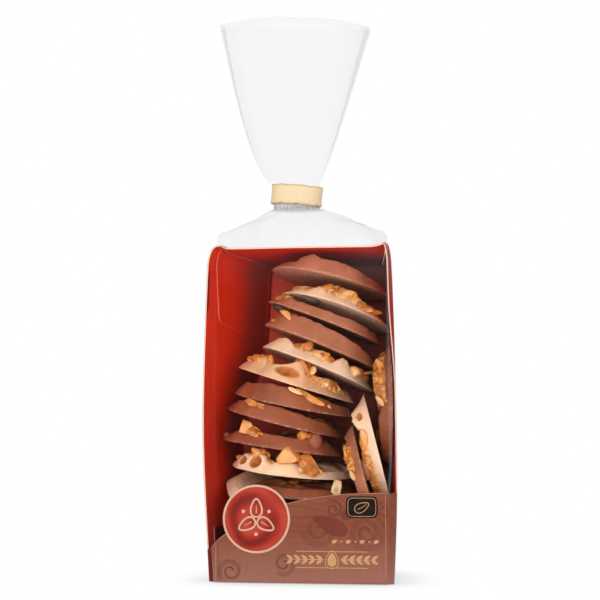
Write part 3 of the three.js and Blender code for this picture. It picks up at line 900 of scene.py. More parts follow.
def make_front_panel(brown, inside, raw, side_red):
    """The low front wall, folded back round both front corners, with the wave along its top. The
    carton's red runs a little way round its left corner."""
    corners = plan_corners(0.0)
    route = [(-CARTON.half_width, WRAP_Y), corners[1], corners[0], corners[5], corners[4],
             (CARTON.half_width, WRAP_Y)]
    path = rounded_path(route, 0.9, 0.7)
    top = wave_height(path[:, 0])
    for _ in range(3):
        top = wave_height(carton_form(path[:, 0], path[:, 1], top)[:, 0])
    levels = 34
    z = CARD_GAP + (top - CARD_GAP) * np.linspace(0, 1, levels)[:, None]
    grid = carton_form(path[None, :, 0], path[None, :, 1], z)
    face = grid[..., 1] < CARTON.front + 0.02
    grid[..., 1] = np.where(face, front_y(grid[..., 0], grid[..., 2]), grid[..., 1])
    points, faces, kinds = slab(grid, CARTON.board)
    middle_x = path[:, 0][:-1] + np.diff(path[:, 0]) / 2
    on_red = middle_x < -CARTON.half_width + RED_MARGIN
    wrapped = np.tile(np.where(on_red, 3, 0), levels - 1)
    kinds[:len(wrapped)] = wrapped.tolist()
    make_piece("panel_card", points, faces, [brown, inside, raw, side_red], kinds,
               ["front_panel"])


def cut_disc(radius, lift, thickness, around=120, rings=8):
    """The badge's disc on the front face, with a back and a cut edge."""
    angles = full_turn(around)
    rows = [on_front(PANEL.badge_x + r * np.cos(angles), PANEL.badge_z + r * np.sin(angles), lift)
            for r in radius * np.arange(rings, 0, -1) / rings]
    centre = on_front(PANEL.badge_x, PANEL.badge_z, lift)
    points = np.concatenate(rows + [centre[None]])
    faces = grid_faces(rings, around, closed=True)
    last = (rings - 1) * around
    shift = len(points)
    faces += fan(last, around, shift - 1)
    back = backs(faces, shift)
    rim = band(shift, 0, around, closed=True)
    kinds = [0] * len(faces) + [1] * len(back) + [2] * len(rim)
    return np.concatenate([points, points + np.array([0, thickness, 0])]), faces + back + rim, kinds


def ribbon(route, width, lift, closed=False):
    """A flat printed line on the front face along a route of (x, z), tapering if width is a list."""
    route = np.array(route, float)
    if closed:
        ahead = np.roll(route, -1, axis=0) - np.roll(route, 1, axis=0)
    else:
        ahead = np.gradient(route, axis=0)
    ahead /= np.maximum(np.linalg.norm(ahead, axis=1, keepdims=True), 1e-9)
    half = np.broadcast_to(np.asarray(width, float) / 2, (len(route),))[:, None]
    across = np.stack([-ahead[:, 1], ahead[:, 0]], -1) * half
    points = np.concatenate([on_front(*side.T, lift) for side in (route + across, route - across)])
    count = len(route)
    faces = band(0, count, count, closed)
    return points, faces, [0] * len(faces)


def filled(route, lift):
    """The inside of a closed route as a fan on the front face."""
    route = np.array(route, float)
    ring = np.concatenate([route, [route.mean(0)]])
    count = len(route)
    faces = fan(0, count, count)
    return on_front(*ring.T, lift), faces, [0] * len(faces)


def almond_outline(x, z, length, width, turn, points=28):
    """A pointed oval, sharp at one end, as a closed route."""
    a = 2 * math.pi * np.arange(points) / points
    u, v = length / 2 * np.cos(a), width / 2 * np.sin(a) * (1 - 0.35 * np.cos(a))
    c, s = math.cos(turn), math.sin(turn)
    return np.stack([x + u * c - v * s, z + u * s + v * c], -1)


def spiral(x, z, outer_radius, turns, start, hand, eye=0.2, steps=70):
    """A scroll that winds out from its eye."""
    share = np.linspace(0, 1, steps)
    angle = start + hand * share * turns * 2 * math.pi
    radius = outer_radius * (eye + (1 - eye) * share)
    return np.stack([x + radius * np.cos(angle), z + radius * np.sin(angle)], -1)


def make_print(name, parts, ink):
    """Printed marks on the front, joined into one piece."""
    points, faces, kinds = joined(parts)
    make_piece(name, points, faces, [ink], kinds, ["front_panel"])


def polar(x, z, reach, degrees):
    return x + reach * math.cos(math.radians(degrees)), z + reach * math.sin(math.radians(degrees))


def make_badge(field, inside, cream):
    """The round badge of the panel: a red field, a cream rim, three cream almonds and three dots."""
    x, z, r = PANEL.badge_x, PANEL.badge_z, PANEL.badge_radius
    points, faces, kinds = cut_disc(r, LIFT.bold, CARTON.board)
    make_piece("badge_disc", points, faces, [field, inside, cream], kinds, ["front_panel"])
    lift = LIFT.badge
    parts = [ribbon([polar(x, z, r - 0.5, 3 * k) for k in range(120)], 0.9, lift, closed=True)]
    for degrees in (90, 210, 330):
        outline = almond_outline(*polar(x, z, 4.6, degrees), 7.6, 4.6, math.radians(degrees))
        vein = [polar(x, z, d, degrees) for d in np.linspace(2.4, 6.0, 8)]
        parts += [ribbon(outline, 0.7, lift, closed=True), ribbon(vein, np.linspace(0.45, 0.12, 8), lift)]
    for degrees in (30, 150, 270):
        parts.append(filled(almond_outline(*polar(x, z, 6.3, degrees), 1.5, 1.5, 0), lift))
    make_print("badge_print", parts, cream)


def make_scrolls(tone, glow):
    """Tone-on-tone scrolls and two large almonds over the brown."""
    scrolls = [  # x, z, radius, turns, start, hand
        (28.5, 21.5, 8.6, 2.1, 0.4, 1), (9.0, 22.5, 7.6, 1.9, 2.6, -1), (-28.5, 5.0, 6.0, 1.7, 0.2, 1),
        (36.0, 31.0, 4.6, 1.8, 3.4, -1), (15.0, 31.0, 4.2, 1.6, 5.0, 1), (-6.0, 8.5, 5.4, 1.6, 1.6, -1),
    ]
    tone_parts, glow_parts = [], []
    for x, z, radius, *winding in scrolls:
        for k in range(3):
            route = spiral(x, z, radius * (1 - 0.13 * k), *winding)
            route = [(a, b) for a, b in route if 0.8 < b < wave_height(a) - 0.5 and -34 < a < 37.4]
            if len(route) > 6:
                tone_parts.append(ribbon(route, 0.24 - 0.04 * k, LIFT.leaf))
    for x, z, length, width, turn in ((13.5, 24.6, 15.0, 6.4, 2.7), (22.0, 29.5, 8.0, 3.6, 0.5)):
        for k in range(3):
            outline = almond_outline(x, z, length * (1 - 0.2 * k), width * (1 - 0.26 * k), turn, 48)
            tone_parts.append(ribbon(outline, 0.26, LIFT.fine, closed=True))
        glow_parts.append(filled(almond_outline(x, z, length, width, turn, 48), LIFT.leaf))
    make_print("panel_scrolls", tone_parts, tone)
    make_print("panel_leaves", glow_parts, glow)


def make_folds(pale):
    """A pale line under the wave, and one down each folded corner."""
    corners = plan_corners(0.0)
    left, right = corners[0][0], corners[5][0]
    wave = [(a, wave_height(a) - 0.22) for a in np.linspace(left, right, 90)]
    lines = [ribbon(wave, 0.34, LIFT.line)]
    for a in (left - 0.2, right - 0.9):
        fold = [(a, b) for b in np.linspace(1.0, wave_height(a) - 0.6, 30)]
        lines.append(ribbon(fold, 0.3, LIFT.line))
    make_print("panel_folds", lines, pale)


def make_border(ink, middle=14.3, height=10.25):
    """Two rules with a sprig of five pairs of leaves on each side of an almond, under a row of seven
    small almonds."""
    parts, lift = [], LIFT.line
    for z in (13.6, 6.9):
        parts.append(ribbon([(middle + s, z) for s in np.linspace(-15, 15, 20)], 0.3, lift))
    for side in (-1, 1):
        for k in range(5):
            at = middle + side * (4.6 + 3.1 * k)
            for lean in (-1, 1):
                turn = math.radians(90 - side * 90) + side * lean * math.radians(34)
                parts.append(filled(almond_outline(at + side * 0.9, height + lean, 3.0, 1.25, turn), lift))
        stem = [(middle + side * s, height) for s in np.linspace(3.6, 18.4, 14)]
        parts.append(ribbon(stem, np.linspace(0.5, 0.2, 14), LIFT.bold))
    upright = math.pi / 2
    parts.append(filled(almond_outline(middle, height, 5.6, 3.6, upright), lift))
    parts.append(ribbon(almond_outline(middle, height, 7.4, 5.2, upright), 0.32, lift, closed=True))
    for k in range(7):
        size = 0.95 if k % 2 else 2.3
        outline = almond_outline(15.4 + 2.9 * k, 17.8, size, size * 0.62, math.radians(20))
        parts.append(filled(outline, lift))
    make_print("panel_border", parts, ink)


def make_plaque(dark, line, x=26.8, z=32.0, half_w=6.6, half_h=4.5, corner=2.2):
    """A dark plate with rounded corners, a line inside its edge and one almond."""
    outline = []
    for cx, cz, start in ((1, 1, 0), (-1, 1, 90), (-1, -1, 180), (1, -1, 270)):
        middle = (x + cx * (half_w - corner), z + cz * (half_h - corner))
        outline += [polar(*middle, corner, a) for a in np.linspace(start, start + 90, 9)]
    make_print("panel_plaque", [filled(outline, LIFT.bold)], dark)
    inner = [(x + (a - x) * 0.88, z + (b - z) * 0.84) for a, b in outline]
    vein = [(x - 1.9, z - 1.0), (x, z - 0.1), (x + 1.9, z + 1.1)]
    make_print("panel_plaque_line", [
        ribbon(inner, 0.22, LIFT.plaque, closed=True),
        ribbon(almond_outline(x, z, 6.4, 3.6, math.radians(28)), 0.28, LIFT.plaque, closed=True),
        ribbon(vein, 0.22, LIFT.plaque),
    ], line)


# ------------------------------------------------------------------ tie


def make_tie(material):
    """The paper tie: a flattened band with creased ends, rolled edges and a lap at the back."""
    around, levels = 160, 15
    angles = full_turn(around)
    c, s = np.cos(angles), np.sin(angles)
    outer_a = NECK.half_width + TIE.clearance + TIE.thickness
    outer_b = NECK.half_depth + TIE.clearance + TIE.thickness
    share = np.linspace(0, 1, levels)
    lap = TIE.thickness * smoothstep(TIE.lap / 2 - np.abs(outer_a * c), 0, 0.4) * (s > 0)
    outer, inner = [], []
    for v in share:
        edge = abs(2 * v - 1)
        waist = -0.22 * (1 - edge ** 2)
        roll = -0.16 * smoothstep(edge, 0.86, 1.0) + 0.12 * math.exp(-((edge - 0.8) / 0.06) ** 2)
        pinch = 0.35 * np.abs(c) ** 18
        reach = 1 + (waist * np.abs(c) ** 6 + roll) / outer_a
        z = (v - 0.5) * TIE.height + 0.16 * noise3(np.stack([c * 6, s * 6, c * 0], -1), 1.6, 31) * edge
        ring = np.stack([(outer_a * reach + pinch) * c, (outer_b + roll) * s, z], -1)
        radial = np.stack([c, s, s * 0], -1)
        outer.append(ring + radial * lap[:, None])
        inner.append(ring - radial * TIE.thickness * 0.9)
    grid = np.array(outer + inner[::-1] + outer[:1])
    across = np.concatenate([share, share[::-1], share[:1]])
    cos_t, sin_t = math.cos(TIE.tilt), math.sin(TIE.tilt)
    x, z = grid[..., 0].copy(), grid[..., 2].copy()
    grid[..., 0] = NECK.x + x * cos_t + z * sin_t
    grid[..., 1] += NECK.y
    grid[..., 2] = TIE.z - x * sin_t + z * cos_t
    rows = len(grid) - 1
    faces = grid_faces(rows, around, closed=True) + band((rows - 1) * around, 0, around, closed=True)
    make_piece("tie_band", grid[:-1].reshape(-1, 3), faces, [material], [0] * len(faces),
               ["tie"], {"across": np.repeat(across[:-1], around)})


# ------------------------------------------------------------------ cookies


def rotation(axis, degrees):
    """The matrix of a turn about one axis, 0 to 2."""
    i, j = (axis + 1) % 3, (axis + 2) % 3
    matrix = np.eye(3)
    matrix[i, i] = matrix[j, j] = math.cos(math.radians(degrees))
    matrix[j, i] = math.sin(math.radians(degrees))
    matrix[i, j] = -matrix[j, i]
    return matrix


def turned(points, turn, tilt, spin):
    """Points spun about X, then tilted up from level, then turned about Z, in degrees."""
    return points @ (rotation(2, turn) @ rotation(1, -tilt) @ rotation(0, spin)).T


def random_slices(rng, radius, count, tall):
    """Almond slices under the chocolate: (x, y, turn, half length, half width, height)."""
    slices = []
    for _ in range(count):
        r = (radius - 5.5) * math.sqrt(rng.random())
        a = rng.random() * 2 * math.pi
        slices.append((r * math.cos(a), r * math.sin(a), rng.random() * math.pi, 3.2 + 3.0 * rng.random(),
                       1.7 + 1.6 * rng.random(), tall * (0.4 + 0.8 * rng.random())))
    return slices


def cookie_angles(front, back):
    """Angles round a cookie, set closer together along its front."""
    behind = np.arange(back) / back * math.pi
    ahead = math.pi + np.arange(front) / front * math.pi
    return np.concatenate([behind, ahead])


def crest_height(places, angles, level, seed, radius):
    """A crest's height round a cookie: along the front it runs through the given places (s, height),
    and behind it settles to a level. Small breaks make it uneven."""
    known = np.interp(np.cos(angles), *zip(*places))
    settled = lerp(known, level, smoothstep(np.sin(angles), 0.0, 0.4))
    ring = circle(angles, radius)
    return settled + 0.22 * noise3(ring, 2.1, seed) + 0.12 * noise3(ring, 0.9, seed + 1)


def cookie_grid(spec, rng):
    """A cookie's rows of points from the base round the side to the top, what each point is (-1 on
    the base, 0 to 1 up the side, 2 on the caramel wall, 3 on top), where round the cookie that wall
    stands over the rim, and how far out it ends."""
    angles = cookie_angles(*((90, 45) if spec.hidden else (240, 70)))
    base_rows, side_rows, wall_rows, top_rows = (4, 6, 4, 10) if spec.hidden else (6, 12, 9, 15)
    radius, height, seed = spec.radius, spec.height, spec.seed
    phase = rng.random(4) * 2 * math.pi
    outline = radius * (1 + 0.016 * np.sin(2 * angles + phase[0]) + 0.012 * np.sin(3 * angles + phase[1])
                        + 0.006 * np.sin(7 * angles + phase[2]))
    ring = circle(angles, radius)
    outline = outline + 0.3 * noise3(ring, 5.0, seed) + 0.1 * noise3(ring, 1.8, seed + 1)
    rim = crest_height(spec.rim, angles, height, seed + 3, radius)
    crust = crest_height(spec.crust, angles, height, seed + 9, radius) if spec.crust else rim
    inset = 2.4 + 0.12 * rim + 0.35 * noise3(ring, 9.0, seed + 2)
    lip, inner = outline - inset, outline - inset - 2.3
    wall_foot = rim - 0.35
    wall_top = np.maximum(crust, wall_foot)

    rows = []  # the distance from the middle, the height and what it is
    for k in range(1, base_rows + 1):
        share = (k / base_rows) ** 0.6
        rows.append(((outline - BASE_EDGE) * share, 0.5 * BASE_EDGE * (1 - share), -1))
    rows.append((outline, BASE_EDGE, 0))
    for k in range(1, side_rows + 1):
        s = k / side_rows
        rows.append((outline - inset * s ** 1.12, BASE_EDGE + (rim - BASE_EDGE) * s ** 0.94, s))
    rows += [(lip - 0.22, rim + 0.03, 1), (lip - 0.5, rim - 0.12, 1)]
    for k in range(1, wall_rows + 1):
        s = k / wall_rows
        rows.append((lip - 0.6 - 1.7 * s, lerp(wall_foot, wall_top, math.sin(s * math.pi / 2) ** 0.8), 2))
    for k in range(1, top_rows):
        share = 1 - k / top_rows
        fall = np.exp(-(inner * (1 - share)) / 3.0)
        rows.append((inner * share, height + (wall_top - height) * fall, 3))
    grid = np.array([circle(angles, distance, z) for distance, z, _ in rows])
    kind = np.repeat([[float(what)] for *_, what in rows], len(angles), axis=1)
    return grid, kind, crust - rim > 0.4, inner


def slice_lift(grid, slices):
    """How far the slices that lie under the chocolate lift its top."""
    lift = np.zeros(grid.shape[:2])
    for x, y, turn, long, wide, tall in slices:
        u = (grid[..., 0] - x) * math.cos(turn) + (grid[..., 1] - y) * math.sin(turn)
        v = -(grid[..., 0] - x) * math.sin(turn) + (grid[..., 1] - y) * math.cos(turn)
        inside = np.clip(1 - ((u / long) ** 2 + (v / wide) ** 2) ** 1.3, 0, 1)
        lift = np.maximum(lift, tall * inside ** 0.7)
    return lift


def press_marks(marks, grid, normals, on_side, masks):
    """Presses dents and drips into a cookie's side and paints them with caramel, with painted shade deep in
    the dents. A negative paint wipes caramel off. Returns the changed grid."""
    for mark in marks:
        front = math.sqrt(max(0.0, 1 - mark.s * mark.s)) * (MARK_RADIUS - 1.5)
        gap = (grid - np.array([mark.s * MARK_RADIUS, -front, mark.up])) / np.array(mark.size)
        distance = np.sqrt((gap ** 2).sum(-1))
        dent = np.exp(-distance ** 2 * 1.4)
        ridge = np.exp(-((distance - 1.1) / 0.3) ** 2)
        grid = grid + normals * ((mark.push * dent + mark.rim * ridge) * on_side)[..., None]
        if mark.paint > 0:
            painted = mark.paint * smoothstep(1.0 - distance, -0.1, 0.15) * on_side
            cleft = np.maximum(0.3 * masks["cleft"], mark.shade * dent)
            masks["caramel"] = np.maximum(masks["caramel"], painted)
            masks["tone"] = np.where(painted > 0.1, np.minimum(masks["tone"], mark.tone), masks["tone"])
            masks["cleft"] = np.where(painted > 0.1, cleft, masks["cleft"])
        if mark.paint < 0:
            masks["caramel"] = masks["caramel"] * smoothstep(distance, 0.85, 1.1)
    return grid


def cookie_body(spec, rng):
    """One florentine without its loose almonds: points in its own frame, faces and masks. The base
    is a crisp flat disc and the side a nearly plane slope up to a broken rim of chocolate. Behind the
    rim a wall of caramel and chopped almond may stand, and lumps cover the top."""
    grid, kind, nutty, inner = cookie_grid(spec, rng)
    normals = grid_normals(grid, closed=True)
    if normals[-1, 0, 2] < 0:
        normals = -normals
    top = smoothstep(kind, 2.0, 3.0)
    lift = slice_lift(grid, random_slices(rng, spec.radius, spec.lumps, spec.lump_height))
    lift *= top * smoothstep(inner - np.linalg.norm(grid[..., :2], axis=-1), 1.0, 4.0)

    patches = smoothstep(noise3(grid, 7.0, spec.seed + 8), *spec.top_caramel)
    caramel = np.maximum((kind == 2) * 1.0 * nutty, top * np.maximum(patches, nutty * 0.8))
    lump, tone, cleft = crags(grid, spec.crag, spec.seed + 20)
    small, small_tone, small_cleft = crags(grid, spec.crag * 0.45, spec.seed + 40)
    skin = 0.16 * noise3(grid, 6.0, spec.seed + 5) * (kind >= 0.3) + 0.03 * noise3(grid, 1.0, spec.seed + 7)
    crag_height = caramel * (0.95 * (lump - 0.5) + 0.3 * (small - 0.5))
    grid = grid + normals * (skin + crag_height)[..., None]
    grid[..., 2] += lift
    masks = {
        "caramel": caramel,
        "tone": np.clip(0.7 * tone + 0.3 * small_tone, 0, 1),
        "cleft": np.clip(np.maximum(cleft, 0.5 * small_cleft), 0, 1),
        "under": (kind < 0) * 1.0,
    }
    grid = press_marks(spec.marks, grid, normals, (kind >= 0) * 1.0, masks)
    near_edge = np.exp(-((grid[..., 2] - 0.15) / 0.55) ** 2)
    masks["edge"] = near_edge * (np.linalg.norm(grid[..., :2], axis=-1) > spec.radius * 0.93)
    # Painted shade: the cookie darkens from one s to another, and its top a little.
    start, end, depth = spec.dusk
    masks["dark"] = np.maximum(depth * smoothstep(grid[..., 0] / spec.radius, start, end), 0.3 * top)

    rows, around = kind.shape
    points = np.concatenate([grid.reshape(-1, 3), [[0, 0, 0.5 * BASE_EDGE], grid[-1].mean(0)]])
    faces = grid_faces(rows, around, closed=True)
    faces += fan(0, around, len(points) - 2, flipped=True)
    faces += fan((rows - 1) * around, around, len(points) - 1)
    masks = {key: np.concatenate([value.reshape(-1), [value[0].mean(), value[-1].mean()]])
             for key, value in masks.items()}
    return points, faces, masks


def unit_sphere(level):
    """The points and faces of an icosphere of radius 1."""
    made = bmesh.new()
    bmesh.ops.create_icosphere(made, subdivisions=level, radius=1.0)
    made.verts.ensure_lookup_table()
    points = np.array([v.co[:] for v in made.verts])
    faces = [tuple(v.index for v in f.verts) for f in made.faces]
    made.free()
    return points, faces


SPHERE, COARSE_SPHERE = unit_sphere(4), unit_sphere(3)

CUTS = {  # planes (x, y, z, distance) that cut a ball into the piece
    "block": ((1, 0.1, 0, 0.62), (-1, 0, 0.08, 0.60), (0.1, 0, 1, 0.62), (0, 0, -1, 0.6),
              (0, -1, 0.15, 0.55), (0, 1, 0, 0.6), (0.7, 0, 0.7, 0.72), (-0.6, -0.6, 0.5, 0.8)),
    "dome": ((0, 0, -1, 0.45), (0, -1, 0.1, 0.62), (0.75, -0.3, 0.58, 0.72), (-0.8, -0.1, 0.6, 0.76),
             (0, 1, 0, 0.5)),
    "wedge": ((0.12, -0.45, 0.88, 0.24), (0, 0, -1, 0.5), (0.1, -1, -0.1, 0.5), (-0.9, 0, 0.3, 0.75),
              (0.9, -0.2, 0.4, 0.8), (0, 1, 0, 0.5)),
}


def pressed_flat(points, normal, distance, share):
    """Points beyond a plane pressed back onto it."""
    over = np.maximum(points @ normal - distance, 0)
    return points - normal * (over * share)[:, None]


def almond_piece(rng, kind, size, ball=SPHERE):
    """A slice or a chunk of almond, or a piece with its own cuts, about its own middle, with a mask
    for its brown skin."""
    sphere, faces = ball
    points = sphere.copy()
    if kind == "chunk":
        for _ in range(10):
            normal = rng.normal(size=3)
            normal /= np.linalg.norm(normal)
            points = pressed_flat(points, normal, 0.48 + 0.28 * rng.random(), 0.96)
        skin = smoothstep(noise3(points * 10, 9, int(rng.integers(1000))), 0.25, 0.6)
    elif kind in CUTS:
        for x, y, z, distance in CUTS[kind]:
            normal = np.array([x, y, z]) / math.sqrt(x * x + y * y + z * z)
            points = pressed_flat(points, normal, distance, 0.97)
        points = points / np.abs(points).max(0)
        skin = smoothstep(noise3(points * 10, 9, int(rng.integers(1000))), 0.35, 0.7) * 0.6
        if kind == "wedge":
            skin = np.maximum(skin, 0.9 * smoothstep(noise3(points * 10, 4, 5), 0.1, -0.2))
    else:
        flat = np.sign(points[:, 2]) * np.abs(points[:, 2]) ** 0.45
        ring = np.linalg.norm(points[:, :2], axis=1)
        points[:, 2] = flat * (0.55 + 0.45 * (1 - ring ** 4))
        points[:, 0] *= 1 - 0.22 * points[:, 0] * 0.5
        points[:, 1] *= 1 - 0.25 * points[:, 0]
        skin = smoothstep(ring, 0.90, 0.99) * 0.9
    points = points * np.array(size) / 2
    if kind == "slice":
        points[:, 2] += 0.05 * points[:, 0] ** 2 * (rng.random() - 0.3)
    points = points + 0.12 * fractal(points, 2.2, int(rng.integers(1000)))[:, None] * sphere
    return points, faces, skin


# A cookie's own details. s runs along its front, from -1 at its left end to 1, up is over its base,
# and back is how far a piece is set back from the rim. Flakes are (start, end, count, tones).
Mark = namedtuple("Mark", "s up size push rim paint tone shade", defaults=(0, 0, 0, 0.3, 0.9))
Nut = namedtuple("Nut", "s up kind size turn tilt spin back tone", defaults=(0, 0, 0, 4.0, 0.6))
Lobe = namedtuple("Lobe", "s up size back dark", defaults=(3.0, 0))
DRIP_MASK = {"under": 0.3, "dark": 0.92}  # what a lobe's dark share means for its chocolate: some underside grain and deep painted shade

PLAIN = dict(
    yaw=0.0, lumps=18, lump_height=1.4, crag=3.2, rim=((-1, 2.6), (-0.7, 4.0), (0.6, 4.2), (1, 2.8)),
    crust=(), top_caramel=(0.1, 0.35), dusk=(0.2, 1.1, 0.45), marks=(), nuts=(), lobes=(), flakes=(),
    more_nuts=3, hidden=False,
)


def cookie(number, chocolate, at, roll, pitch, radius=26.0, height=4.2, **details):
    """A cookie's description. at is its base's middle. roll drops its right side and pitch lifts its
    front edge, and yaw then turns it about Z. rim and crust are the crests of its chocolate and of the
    caramel wall behind, as (s, height). dusk darkens it with painted shade from one s to another by a
    share."""
    details = {**PLAIN, **details}
    return SimpleNamespace(number=number, chocolate=chocolate, at=at, roll=roll, pitch=pitch,
                           radius=radius, height=height, seed=100 + 37 * number, **details)


